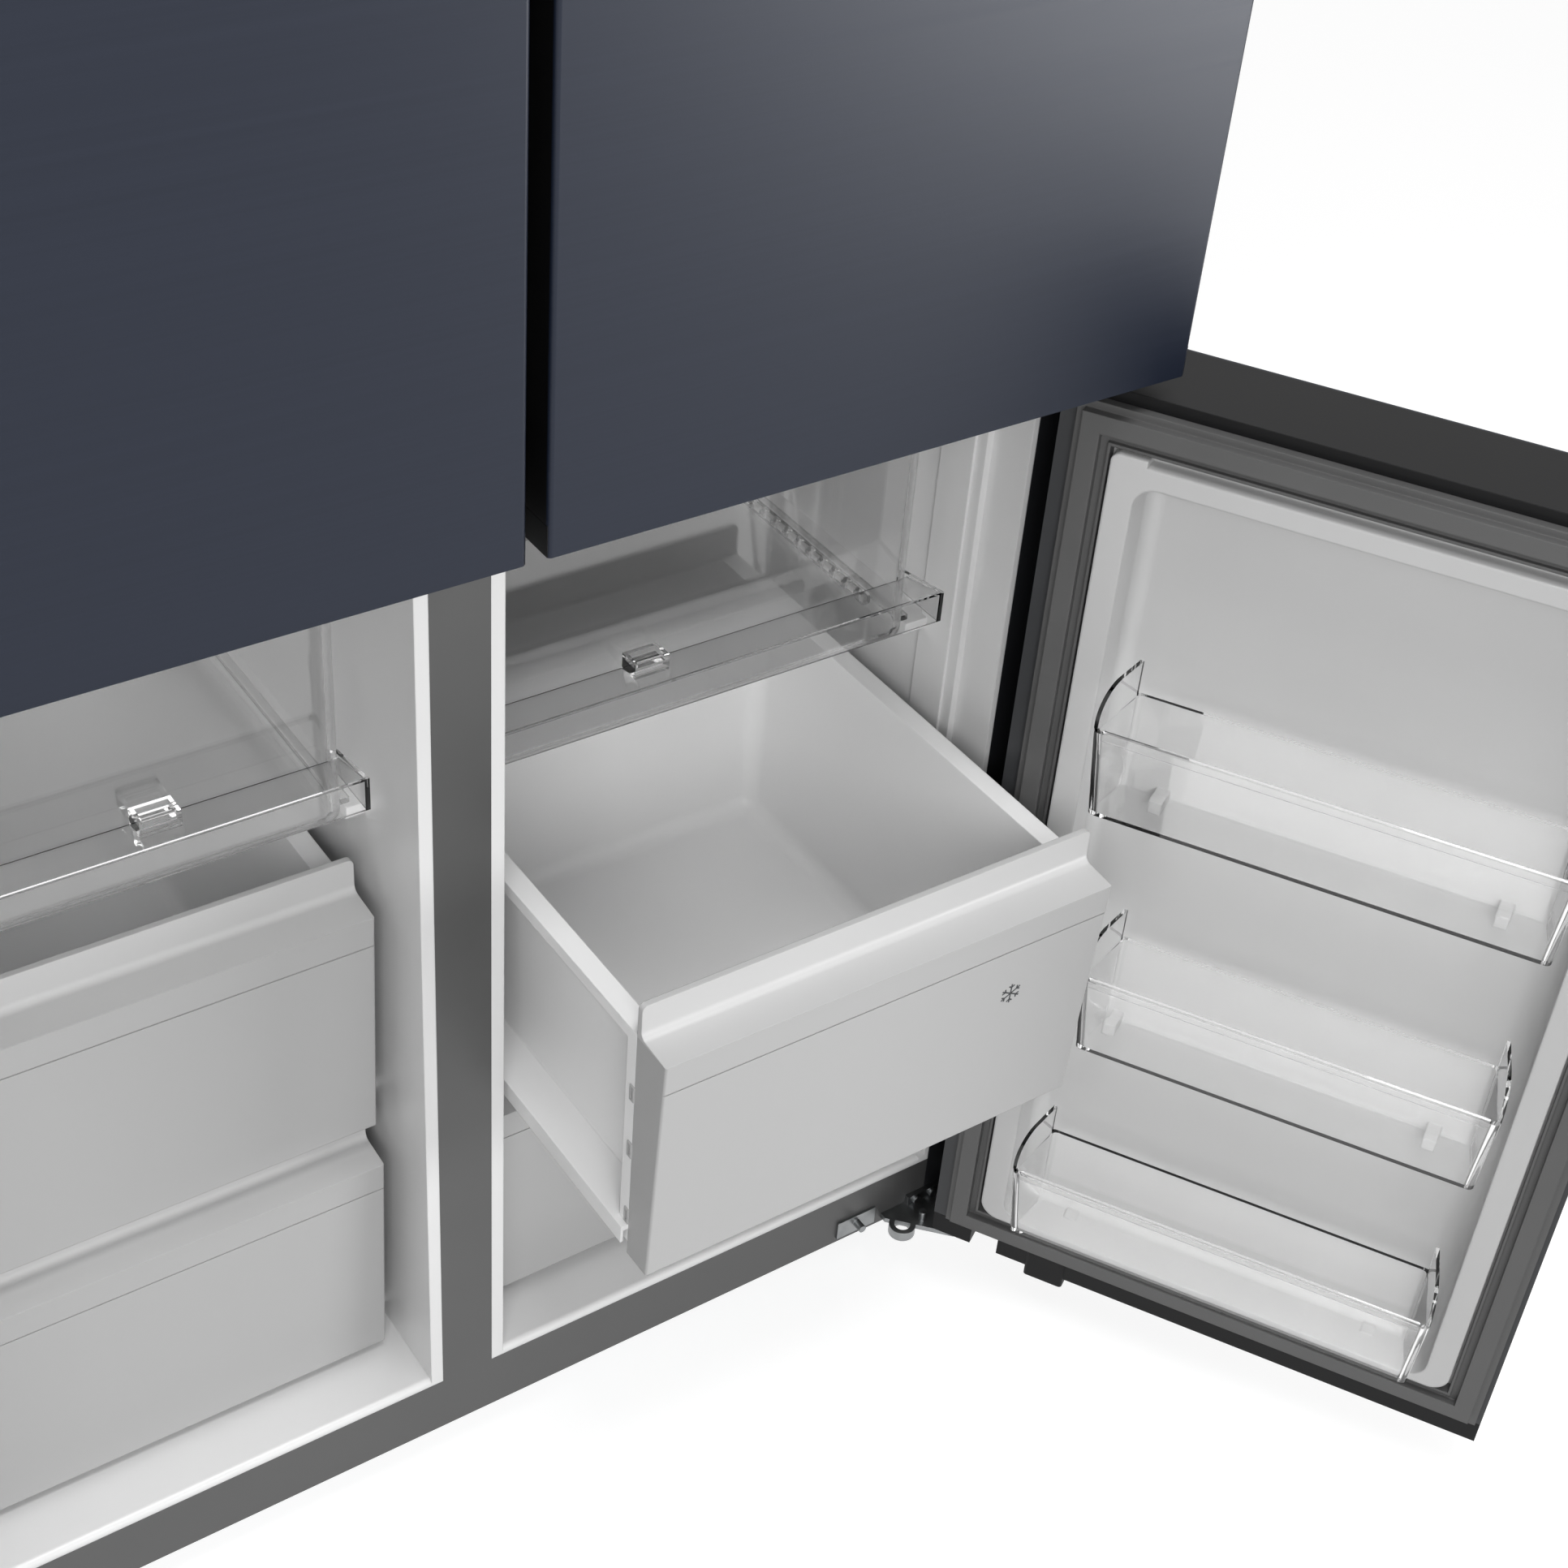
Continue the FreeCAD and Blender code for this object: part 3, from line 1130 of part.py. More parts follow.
node("evaporator", fins("evaporator", ("lip_in + cooler_side",
                                       "lip_in + cooler_side + cooler_pitch * 18 + cooler_fin"),
                        ("duct_face + duct_sheet + cooler_gap", "liner_depth"),
                        ("duct_low", "duct_low + cooler_height"),
                        "cooler_pitch", "cooler_fin", 18))
node("evaporator_motor", fuse(
    "evaporator_motor",
    rod("cooler_motor", ("cooler_mid", "liner_depth - cooler_motor", "cooler_fan_high"),
        "fan_hub + motor_margin",
        "cooler_motor", "y"),
    rod("cooler_shaft", ("cooler_mid", "liner_depth - cooler_motor - fan_thick - 2 * over",
                         "cooler_fan_high"),
        "fan_shaft", "fan_thick + 4 * over", "y")))
node("evaporator_fan", wheel("evaporator_fan", (
    "cooler_mid", "liner_depth - cooler_motor - spin_clear - fan_thick", "cooler_fan_high"), "y",
    "cooler_fan_radius", "fan_thick", "fan_hub", "fan_shaft + pin_clear"))

# Glass shelves and the door stops on the rail

panes = []
for level in range(3):
    low = "shelf_low + %d * shelf_pitch" % level
    pane = box("pane_%d" % level, ("shelf_play - lip_out", "lip_out - shelf_play"),
               ("shelf_front", "liner_depth - shelf_back"), (low, low + " + shelf_thick"))
    panes.append(rounded("pane_round_%d" % level, pane, "liner_round", upright_front))
node("glass_shelves", fuse("glass_shelves", *panes))

stops = []
for side, tag in SIDES:
    plate = box("stop_plate_" + tag, span(side, "stop_side - stop_half", "stop_side + stop_half"),
                ("-stop_plate", "0"), ("stop_low", "stop_high"))
    pin = rod("stop_pin_" + tag, ("%d * stop_side" % side, "-stop_reach", "stop_low + stop_pin_rise"),
              "stop_pin",
              "stop_reach - over", "y")
    stops.append(fuse("stop_" + tag, plate, pin))
node("door_stops", fuse("door_stops", *stops))

# Check every solid, set the origin under the middle of the whole and write the parts

doc.recompute()
for obj in doc.Objects:
    if "Invalid" in obj.State or "Error" in obj.State:
        raise RuntimeError("%s did not compute" % obj.Name)
    if hasattr(obj, "Shape") and not obj.Shape.isNull() and not obj.Shape.isValid():
        raise RuntimeError("%s is not a sound shape" % obj.Name)
whole = FreeCAD.BoundBox()
for obj in nodes.values():
    whole.add(obj.Shape.BoundBox)
shift = FreeCAD.Vector(0, -whole.Center.y, -whole.ZMin)
os.makedirs("parts", exist_ok=True)
for name, obj in nodes.items():
    shape = obj.Shape.copy()
    shape.translate(shift)
    shape.exportStep(os.path.join("parts", name + ".step"))
print("nodes", len(nodes), "shift", round(shift.y, 3), "box", whole)
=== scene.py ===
import math

import bpy
from mathutils import Matrix, Vector


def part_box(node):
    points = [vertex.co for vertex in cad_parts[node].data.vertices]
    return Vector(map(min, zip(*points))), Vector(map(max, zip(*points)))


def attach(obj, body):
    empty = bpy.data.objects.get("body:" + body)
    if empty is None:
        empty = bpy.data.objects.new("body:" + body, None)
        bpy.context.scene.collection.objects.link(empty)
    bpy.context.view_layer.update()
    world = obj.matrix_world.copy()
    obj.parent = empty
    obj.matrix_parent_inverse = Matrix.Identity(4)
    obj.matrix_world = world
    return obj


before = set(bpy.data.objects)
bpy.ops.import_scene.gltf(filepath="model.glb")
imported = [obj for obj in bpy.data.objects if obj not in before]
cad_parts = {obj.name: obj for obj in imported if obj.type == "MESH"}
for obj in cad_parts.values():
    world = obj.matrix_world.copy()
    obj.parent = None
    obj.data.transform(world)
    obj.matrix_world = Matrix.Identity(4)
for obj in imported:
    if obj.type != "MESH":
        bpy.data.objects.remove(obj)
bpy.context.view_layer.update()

# Cabinet case
# A wrapper of pre-painted steel sheet, folded at the front into a narrow flange.
# The paint is baked on, so it is even, dark and satin with a faint orange peel.


def linear(code):
    """An sRGB hex colour as linear red, green, blue and alpha."""
    parts = [int(code[i:i + 2], 16) / 255 for i in (1, 3, 5)]
    return [p / 12.92 if p <= 0.04045 else ((p + 0.055) / 1.055) ** 2.4 for p in parts] + [1.0]


def add(tree, kind, inputs=None, feeds=None, **settings):
    """One node with its settings; an input is a value, a socket or a node whose first output feeds it."""
    made = tree.nodes.new(kind)
    for key, value in settings.items():
        setattr(made, key, value)
    for key, value in (inputs or {}).items():
        if isinstance(value, bpy.types.Node):
            value = value.outputs[0]
        if isinstance(value, bpy.types.NodeSocket):
            tree.links.new(value, made.inputs[key])
        else:
            made.inputs[key].default_value = value
    if feeds:
        tree.links.new(made.outputs[0], feeds)
    return made


def per_mm(size):
    """The texture scale at which a pattern repeats about every size millimetres."""
    return 1000.0 / size


def blank(name):
    """A material with only its shader, and the place on the piece as a socket."""
    material = bpy.data.materials.new(name)
    material.use_nodes = True
    tree = material.node_tree
    shader = tree.nodes["Principled BSDF"]
    place = tree.nodes.new("ShaderNodeTexCoord").outputs["Object"]
    return material, tree, shader, place


def dress(material, *names):
    """Puts a material on carried-over nodes."""
    for name in names:
        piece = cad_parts[name]
        piece.data.materials.clear()
        piece.data.materials.append(material)


def baked_paint(name, dark, pale, rough, peel_mm=3.0):
    """Baked paint on sheet steel: even colour, satin, a faint orange peel."""
    material, tree, shader, place = blank(name)
    cloud = add(tree, "ShaderNodeTexNoise", {"Vector": place, "Scale": per_mm(160), "Detail": 3.0})
    peel = add(tree, "ShaderNodeTexNoise", {"Vector": place, "Scale": per_mm(peel_mm), "Detail": 2.0})
    add(tree, "ShaderNodeMixRGB", {"Fac": cloud, "Color1": linear(dark), "Color2": linear(pale)},
        shader.inputs["Base Color"])
    add(tree, "ShaderNodeMapRange", {"Value": cloud, "To Min": rough - 0.08, "To Max": rough + 0.08},
        shader.inputs["Roughness"])
    edge = add(tree, "ShaderNodeBevel", {"Radius": 0.0008}, samples=4)
    add(tree, "ShaderNodeBump", {"Height": peel, "Distance": 0.00006, "Strength": 0.25, "Normal": edge},
        shader.inputs["Normal"])
    return material


dress(baked_paint("baked_case_paint", "#141517", "#1b1c1f", rough=0.42), "case_shell")

# Back panel, base deck and machine cover
# Galvanised sheet, screwed to the case and left unpainted where nobody looks.
# The zinc freezes in flat crystals, so its gloss changes from patch to patch.

zinc, tree, shader, place = blank("galvanised_sheet")
spangle = add(tree, "ShaderNodeTexVoronoi", {"Vector": place, "Scale": per_mm(11)}, feature="F1")
grain = add(tree, "ShaderNodeTexNoise", {"Vector": place, "Scale": per_mm(2), "Detail": 3.0})
crystal = add(tree, "ShaderNodeSeparateXYZ", {"Vector": spangle.outputs["Color"]})
add(tree, "ShaderNodeMixRGB", {"Fac": crystal, "Color1": linear("#929597"), "Color2": linear("#b0b3b5")},
    shader.inputs["Base Color"])
add(tree, "ShaderNodeMapRange", {"Value": crystal, "To Min": 0.36, "To Max": 0.58},
    shader.inputs["Roughness"])
add(tree, "ShaderNodeBump", {"Height": grain, "Distance": 0.00004, "Strength": 0.2}, shader.inputs["Normal"])
shader.inputs["Metallic"].default_value = 0.85
dress(zinc, "back_panel", "base_deck", "machine_plate", "machine_cover")

# Foam body
# Polyurethane poured between case and liners, where it rises and sets.
# Only its cut faces could ever show: cream, dull and full of fine cells.

foam, tree, shader, place = blank("rigid_polyurethane_foam")
cells = add(tree, "ShaderNodeTexVoronoi", {"Vector": place, "Scale": per_mm(3)}, feature="DISTANCE_TO_EDGE")
depth = add(tree, "ShaderNodeMapRange", {"Value": cells, "From Max": 0.3})
add(tree, "ShaderNodeMixRGB", {"Fac": depth, "Color1": linear("#cdb98a"), "Color2": linear("#e6d7ad")},
    shader.inputs["Base Color"])
add(tree, "ShaderNodeBump", {"Height": depth, "Distance": 0.0004, "Strength": 0.5}, shader.inputs["Normal"])
shader.inputs["Roughness"].default_value = 0.85
dress(foam, "foam_body")

# Freezer and fridge liners
# White polystyrene sheet, drawn by vacuum over a mould and clipped into the case.
# Drawing stretches it unevenly, so the gloss wanders softly and the corners are smooth.


def moulded(name, dark, pale, rough, grain_mm, grain_depth_mm=0.05, wander_mm=120, ior=1.59, edge_mm=1.2,
            gloss=0.5):
    """Moulded plastic: nearly even colour, wandering gloss, a fine mould grain and soft edges."""
    material, tree, shader, place = blank(name)
    wander = add(tree, "ShaderNodeTexNoise", {"Vector": place, "Scale": per_mm(wander_mm), "Detail": 2.0})
    grain = add(tree, "ShaderNodeTexNoise", {"Vector": place, "Scale": per_mm(grain_mm), "Detail": 3.0})
    add(tree, "ShaderNodeMixRGB", {"Fac": wander, "Color1": linear(dark), "Color2": linear(pale)},
        shader.inputs["Base Color"])
    add(tree, "ShaderNodeMapRange", {"Value": wander, "To Min": rough - 0.04, "To Max": rough + 0.04},
        shader.inputs["Roughness"])
    edge = add(tree, "ShaderNodeBevel", {"Radius": edge_mm / 1000}, samples=4)
    add(tree, "ShaderNodeBump", {"Height": grain, "Distance": grain_depth_mm / 1000, "Strength": 0.3,
                                 "Normal": edge}, shader.inputs["Normal"])
    shader.inputs["IOR"].default_value = ior
    shader.inputs["Specular IOR Level"].default_value = gloss
    return material


liner_white = moulded("drawn_polystyrene", "#d4d4d4", "#dcdcdc", rough=0.3, grain_mm=2.5)
dress(liner_white, "freezer_liner_r", "freezer_liner_l", "upper_liner", "center_post", "duct_cover_r",
      "duct_cover_l")

# Front members
# The mullion, bottom rail and cross beam are grey film-coated steel strips.
# A drawn grain runs along the strip and gives it a soft stripe of gloss.

strip_steel, tree, shader, place = blank("coated_strip_steel")
cloud = add(tree, "ShaderNodeTexNoise", {"Vector": place, "Scale": per_mm(90), "Detail": 2.0})
fine = add(tree, "ShaderNodeTexNoise", {"Vector": place, "Scale": per_mm(1.5), "Detail": 2.0})
add(tree, "ShaderNodeMixRGB", {"Fac": cloud, "Color1": linear("#4e4e4e"), "Color2": linear("#565656")},
    shader.inputs["Base Color"])
add(tree, "ShaderNodeMapRange", {"Value": cloud, "To Min": 0.34, "To Max": 0.46}, shader.inputs["Roughness"])
add(tree, "ShaderNodeBump", {"Height": fine, "Distance": 0.00003, "Strength": 0.2}, shader.inputs["Normal"])
shader.inputs["Metallic"].default_value = 0.35
dress(strip_steel, "mullion_cover", "bottom_rail", "beam_cover")

# Door fronts
# Steel sheet under a blue-grey film, folded round the door's edges and back over the foam.
# The film has faint level hairlines, drawn coarser here than real so that they can show at all.
# The folded sides are plain black, and the strip that faces the cabinet is dark grey.

cabinet_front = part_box("mullion_cover")[0].y
DOOR_FRONT = 0.080
DOOR_INNER = 0.012
FILM_WRAP = 0.0028
FOLD_MARGIN = 0.00072
HINGE_SIDE = 0.400
HINGE_FRONT = 0.034
OPEN_ANGLE = math.radians(121)


def door_sheet_steel(name, side, angle):
    """Coated sheet whose film, sides and fold are told apart by how far each lies behind the front."""
    material, tree, shader, place = blank(name)
    shut = add(tree, "ShaderNodeVectorRotate", {
        "Vector": place, "Center": (side * HINGE_SIDE, cabinet_front - HINGE_FRONT, 0.0),
        "Angle": -side * angle}, rotation_type="Z_AXIS")
    stretch = add(tree, "ShaderNodeMapping", {
        "Vector": shut, "Scale": (per_mm(500), per_mm(500), per_mm(1.6))})
    hair = add(tree, "ShaderNodeTexNoise", {"Vector": stretch, "Scale": 1.0, "Detail": 3.0})
    back = add(tree, "ShaderNodeSeparateXYZ", {"Vector": shut}).outputs["Y"]
    film = add(tree, "ShaderNodeMixRGB", {"Fac": hair, "Color1": linear("#151b28"),
                                          "Color2": linear("#1a202e")})
    on_side = add(tree, "ShaderNodeMath", {0: back, 1: cabinet_front - DOOR_FRONT + FILM_WRAP},
                  operation="GREATER_THAN")
    on_fold = add(tree, "ShaderNodeMath", {0: back, 1: cabinet_front - DOOR_INNER - FOLD_MARGIN},
                  operation="GREATER_THAN")
    sides = add(tree, "ShaderNodeMixRGB", {"Fac": on_side, "Color1": film, "Color2": linear("#0a0a0b")})
    add(tree, "ShaderNodeMixRGB", {"Fac": on_fold, "Color1": sides, "Color2": linear("#3c3d3f")},
        shader.inputs["Base Color"])
    add(tree, "ShaderNodeMapRange", {"Value": hair, "To Min": 0.32, "To Max": 0.4},
        shader.inputs["Roughness"])
    add(tree, "ShaderNodeBump", {"Height": hair, "Distance": 0.00002, "Strength": 0.08},
        shader.inputs["Normal"])
    shader.inputs["Metallic"].default_value = 0.1
    shader.inputs["Specular IOR Level"].default_value = 0.3
    return material


dress(door_sheet_steel("hairline_film_steel", side=1, angle=0.0), "ul_skin", "ur_skin")
dress(door_sheet_steel("hairline_film_steel_lower_right", side=1, angle=OPEN_ANGLE), "lr_skin")
dress(door_sheet_steel("hairline_film_steel_lower_left", side=-1, angle=OPEN_ANGLE), "ll_skin")

# Door end caps
# Black moulded caps close the top and bottom of each door and hold the hinge bushes.
# They have a matt spark-eroded grain.

cap_black = moulded("black_cap_plastic", "#0b0b0c", "#121213", rough=0.48, grain_mm=1.2, grain_depth_mm=0.08,
                    gloss=0.15)
dress(cap_black, "ul_caps", "ur_caps", "ll_caps", "lr_caps")

# Door liners
# White vacuum-formed shells foamed into the door, with a raised rim inside the seal.
# The sheet thins over the rim, so its edges are round and its gloss is uneven.

door_white = moulded("door_liner_polystyrene", "#b8b8b8", "#c0c0c0", rough=0.3, grain_mm=2.5, edge_mm=2.0)
dress(door_white, "ul_liner", "ur_liner", "ll_liner", "lr_liner")

# Door seals
# Grey soft vinyl strip with a magnet inside, pressed into a groove and welded at the corners.
# Vinyl is dull and slightly greasy, with a faint powdery bloom.

seal_grey = moulded("seal_vinyl", "#4c4c4c", "#565656", rough=0.48, grain_mm=1.5, wander_mm=60, ior=1.52)
dress(seal_grey, "ul_gasket", "ur_gasket", "ll_gasket", "lr_gasket")

# Clear racks and drawers
# Injection-moulded clear polystyrene, glossy, with faint flow lines from the gate.
# Light passes through to what is behind, so these pieces throw almost no shadow.
# The drawers' floors are frosted by a grained mould.

CLEAR_FLOOR = 0.004
FROSTED_ROUGHNESS = 0.35
TRAPPED_AFTER = 5


def clear(name, dark, pale, ior, wave_mm, wave_depth_mm, frosted_below=0.0):
    """Clear moulding or glass: bends light for the eye, lets the lamps through and frees trapped rays."""
    material, tree, shader, place = blank(name)
    flow = add(tree, "ShaderNodeTexNoise", {"Vector": place, "Scale": per_mm(wave_mm), "Detail": 2.0,
                                            "Distortion": 0.6})
    add(tree, "ShaderNodeMixRGB", {"Fac": flow, "Color1": linear(dark), "Color2": linear(pale)},
        shader.inputs["Base Color"])
    polish = add(tree, "ShaderNodeMapRange", {"Value": flow, "To Min": 0.0, "To Max": 0.04})
    height = add(tree, "ShaderNodeSeparateXYZ", {"Vector": place}).outputs["Z"]
    frost = add(tree, "ShaderNodeMath", {0: height, 1: frosted_below}, operation="LESS_THAN")
    add(tree, "ShaderNodeMath", {0: frost, 1: FROSTED_ROUGHNESS, 2: polish}, shader.inputs["Roughness"],
        operation="MULTIPLY_ADD")
    add(tree, "ShaderNodeBump", {"Height": flow, "Distance": wave_depth_mm / 1000, "Strength": 0.15},
        shader.inputs["Normal"])
    shader.inputs["Transmission Weight"].default_value = 1.0
    shader.inputs["IOR"].default_value = ior
    ray = add(tree, "ShaderNodeLightPath")
    passed = add(tree, "ShaderNodeBsdfTransparent", {"Color": linear("#fafafa")})
    trapped = add(tree, "ShaderNodeMath", {0: ray.outputs["Ray Depth"], 1: TRAPPED_AFTER},
                  operation="GREATER_THAN")
    share = add(tree, "ShaderNodeMath", {0: ray.outputs["Is Shadow Ray"], 1: trapped}, operation="MAXIMUM")
    mixed = add(tree, "ShaderNodeMixShader", {0: share, 1: shader, 2: passed})
    tree.links.new(mixed.outputs[0], tree.nodes["Material Output"].inputs["Surface"])
    return material


rack_clear = clear("clear_polystyrene", "#f0f0f0", "#f6f6f6", ior=1.59, wave_mm=90, wave_depth_mm=0.01)
dress(rack_clear, "ul_racks", "ur_racks", "ll_racks", "lr_racks")
floor_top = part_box("clear_drawer_r")[0].z + CLEAR_FLOOR
drawer_clear = clear("clear_polystyrene_frosted_floor", "#fbfbfb", "#ffffff", ior=1.59, wave_mm=90,
                     wave_depth_mm=0.01, frosted_below=floor_top)
dress(drawer_clear, "clear_drawer_r", "clear_drawer_l")

# White freezer drawers
# Tub and front are injection moulded in white polypropylene, then snapped together.
# The front is satin and the tub slightly glossier; the face below the ledge carries painted shade, a touch
# greyer.

FRONT_HEIGHT = 0.1765
DRAWERS = ("mid_r", "mid_l", "low_r", "low_l")
tub_white = moulded("tub_polypropylene", "#e6e6e6", "#ededed", rough=0.3, grain_mm=2.0, ior=1.49)


def front_polypropylene(level):
    """The front's plastic, with painted shade that makes the face below the ledge a touch greyer than the
    ledge and plate above it.
    """
    material = moulded("front_polypropylene_" + level, "#b9b9b9", "#bfbfbf", rough=0.36, grain_mm=2.0,
                       edge_mm=0.9, ior=1.49)
    tree = material.node_tree
    shader = tree.nodes["Principled BSDF"]
    place = add(tree, "ShaderNodeTexCoord").outputs["Object"]
    height = add(tree, "ShaderNodeSeparateXYZ", {"Vector": place}).outputs["Z"]
    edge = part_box(level + "_r_front")[0].z + FRONT_HEIGHT
    # Painted shade: below the ledge the front's colour is mixed towards a darker grey than on the ledge and
    # plate.
    face = add(tree, "ShaderNodeMath", {0: height, 1: edge}, operation="LESS_THAN")
    plain = shader.inputs["Base Color"].links[0].from_node
    add(tree, "ShaderNodeMixRGB", {"Fac": face, "Color1": plain, "Color2": linear("#a6a6a6")},
        shader.inputs["Base Color"])
    return material


drawer_white = {level: front_polypropylene(level) for level in ("mid", "low")}
for name in DRAWERS:
    dress(drawer_white[name[:3]], name + "_front")
    dress(tub_white, name + "_tub")

# Snap tabs
# Three hooked tabs on each end of a drawer front hold the tub's flange.
# They are moulded with the front, so they have its plastic and a small window.

TAB_DEPTH = 0.005
TAB_HEIGHT = 0.012
TAB_PROUD = 0.0010
TAB_EDGE = 0.0006
TAB_BORDER = 0.0012
TAB_SINK = 0.0009
TAB_RISES = (0.031, 0.086, 0.131)
TAB_BEHIND = 0.032
FACING = 0.99


def settle(piece, name, body, material):
    """Gives a finished piece its name, material, body and slot, with its place in its mesh."""
    bpy.ops.object.select_all(action="DESELECT")
    piece.select_set(True)
    bpy.context.view_layer.objects.active = piece
    bpy.ops.object.transform_apply(location=True, rotation=True, scale=True)
    piece.name = name
    piece.data.materials.clear()
    piece.data.materials.append(material)
    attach(piece, body)


def joined(pieces):
    """Joins pieces into the first one."""
    bpy.ops.object.select_all(action="DESELECT")
    for piece in pieces:
        piece.select_set(True)
    bpy.context.view_layer.objects.active = pieces[0]
    bpy.ops.object.join()
    return pieces[0]


def copied(piece, matrix):
    """A copy of a piece with its own mesh, at another place."""
    made = piece.copy()
    made.data = piece.data.copy()
    bpy.context.collection.objects.link(made)
    made.matrix_world = matrix
    return made


def block(size, edge):
    """A block with its edges rounded, ready to be shaped further."""
    bpy.ops.object.select_all(action="DESELECT")
    bpy.ops.mesh.primitive_cube_add(size=1.0)
    piece = bpy.context.object
    piece.scale = size
    bpy.ops.object.transform_apply(location=True, rotation=True, scale=True)
    rounding = piece.modifiers.new("edge", "BEVEL")
    rounding.width = edge
    rounding.segments = 3
    bpy.ops.object.modifier_apply(modifier=rounding.name)
    return piece


def window(piece, toward, border, sink):
    """Insets the widest face that looks along a direction and pushes it in."""
    bpy.ops.object.mode_set(mode="EDIT")
    bpy.ops.mesh.select_mode(type="FACE")
    bpy.ops.mesh.select_all(action="DESELECT")
    bpy.ops.object.mode_set(mode="OBJECT")
    way = Vector(toward)
    seen = [face for face in piece.data.polygons if face.normal.dot(way) > FACING]
    widest = max(seen, key=lambda face: face.area)
    widest.select = True
    bpy.ops.object.mode_set(mode="EDIT")
    bpy.ops.mesh.inset(thickness=border)
    bpy.ops.mesh.extrude_region_move(TRANSFORM_OT_translate={"value": -way * sink})
    bpy.ops.object.mode_set(mode="OBJECT")


tab = block((2 * TAB_PROUD, TAB_DEPTH, TAB_HEIGHT), TAB_EDGE)
window(tab, (1, 0, 0), TAB_BORDER, TAB_SINK)
for name in DRAWERS:
    low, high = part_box(name + "_front")
    tabs = []
    for side_x, turn in ((low.x, math.pi), (high.x, 0.0)):
        for rise in TAB_RISES:
            seat = Matrix.Translation((side_x, low.y + TAB_BEHIND, low.z + rise))
            tabs.append(copied(tab, seat @ Matrix.Rotation(turn, 4, "Z")))
    settle(joined(tabs), name + "_snap_tabs", "drawer_" + name, drawer_white[name[:3]])
bpy.data.objects.remove(tab)

# Frost sign
# A plain six-armed frost star, printed small on the drawn-out drawer's front.
# Screen ink is thin, even and matt, with a slightly raised edge.

STAR_RADIUS = 0.0078
STAR_LINE = 0.0011
STAR_THICK = 0.0002
STAR_EDGE = 0.00008
STAR_SIDE = 0.291
STAR_RISE = 0.1165
BARB_LENGTH = 0.34 * STAR_RADIUS
BARB_START = 0.62 * STAR_RADIUS
BARB_LEAN = 0.9
FACE_FALL = 0.0087
FACE_LEAN = math.atan(FACE_FALL / FRONT_HEIGHT)

ink, tree, shader, place = blank("screen_ink")
speckle = add(tree, "ShaderNodeTexNoise", {"Vector": place, "Scale": per_mm(0.8), "Detail": 2.0})
add(tree, "ShaderNodeMixRGB", {"Fac": speckle, "Color1": linear("#26282a"), "Color2": linear("#383a3c")},
    shader.inputs["Base Color"])
shader.inputs["Roughness"].default_value = 0.6

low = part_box("mid_r_front")[0]
centre = Vector((STAR_SIDE, low.y + math.tan(FACE_LEAN) * (FRONT_HEIGHT - STAR_RISE), low.z + STAR_RISE))
spine = block((STAR_LINE, STAR_THICK, STAR_RADIUS), STAR_EDGE)
spine.matrix_world = Matrix.Translation((0, 0, STAR_RADIUS / 2))
barb = block((STAR_LINE, STAR_THICK, BARB_LENGTH), STAR_EDGE)
barbs = []
for lean in (BARB_LEAN, -BARB_LEAN):
    root = Matrix.Translation((0, 0, BARB_START)) @ Matrix.Rotation(lean, 4, "Y")
    barbs.append(copied(barb, root @ Matrix.Translation((0, 0, BARB_LENGTH / 2))))
bpy.data.objects.remove(barb)
arm = joined([spine] + barbs)
bpy.ops.object.transform_apply(location=True, rotation=True, scale=True)
on_face = Matrix.Translation(centre) @ Matrix.Rotation(FACE_LEAN, 4, "X")
arms = [copied(arm, on_face @ Matrix.Rotation(step * math.pi / 3, 4, "Y")) for step in range(6)]
bpy.data.objects.remove(arm)
settle(joined(arms), "mid_r_frost_star", "drawer_mid_r", ink)

# Hinges, stops and screws
# Pressed steel, zinc plated and passivated, so slightly mottled.
# The lower bracket is held by two pan-head screws.

plated, tree, shader, place = blank("zinc_plated_steel")
mottle = add(tree, "ShaderNodeTexNoise", {"Vector": place, "Scale": per_mm(9), "Detail": 4.0})
add(tree, "ShaderNodeMixRGB", {"Fac": mottle, "Color1": linear("#7d7f80"), "Color2": linear("#a4a6a7")},
    shader.inputs["Base Color"])
add(tree, "ShaderNodeMapRange", {"Value": mottle, "To Min": 0.22, "To Max": 0.44}, shader.inputs["Roughness"])
edge = add(tree, "ShaderNodeBevel", {"Radius": 0.0008}, samples=4)
add(tree, "ShaderNodeBump", {"Height": mottle, "Distance": 0.00005, "Strength": 0.2, "Normal": edge},
    shader.inputs["Normal"])
shader.inputs["Metallic"].default_value = 1.0
dress(plated, "hinge_low", "hinge_mid", "hinge_top", "hinge_screws", "door_stops")

# Feet
# Black moulded levelling feet on threaded stems, screwed up into the base deck.
# Their plastic is filled with glass, so it is dull and coarse.

foot_black = moulded("foot_polyamide", "#171717", "#202020", rough=0.6, grain_mm=1.0, grain_depth_mm=0.1)
dress(foot_black, "feet")

# Compressor
# A welded steel can on a plate with rubber mounts, sprayed black in one coat.
# The spray dries with a wet gloss and a coarse peel.

can_black = baked_paint("sprayed_can_paint", "#0e0e0f", "#171718", rough=0.38, peel_mm=2.0)
dress(can_black, "compressor")

# Condenser and evaporator
# Thin aluminium fins pressed on to tube, rolled bright and then dulled by handling.
# The rolling leaves fine dull and bright specks.

fin_metal, tree, shader, place = blank("rolled_fin_aluminium")
press = add(tree, "ShaderNodeTexNoise", {"Vector": place, "Scale": per_mm(5), "Detail": 3.0})
add(tree, "ShaderNodeMixRGB", {"Fac": press, "Color1": linear("#b4b7b9"), "Color2": linear("#d4d6d7")},
    shader.inputs["Base Color"])
add(tree, "ShaderNodeMapRange", {"Value": press, "To Min": 0.26, "To Max": 0.48}, shader.inputs["Roughness"])
shader.inputs["Metallic"].default_value = 1.0
dress(fin_metal, "condenser", "evaporator")

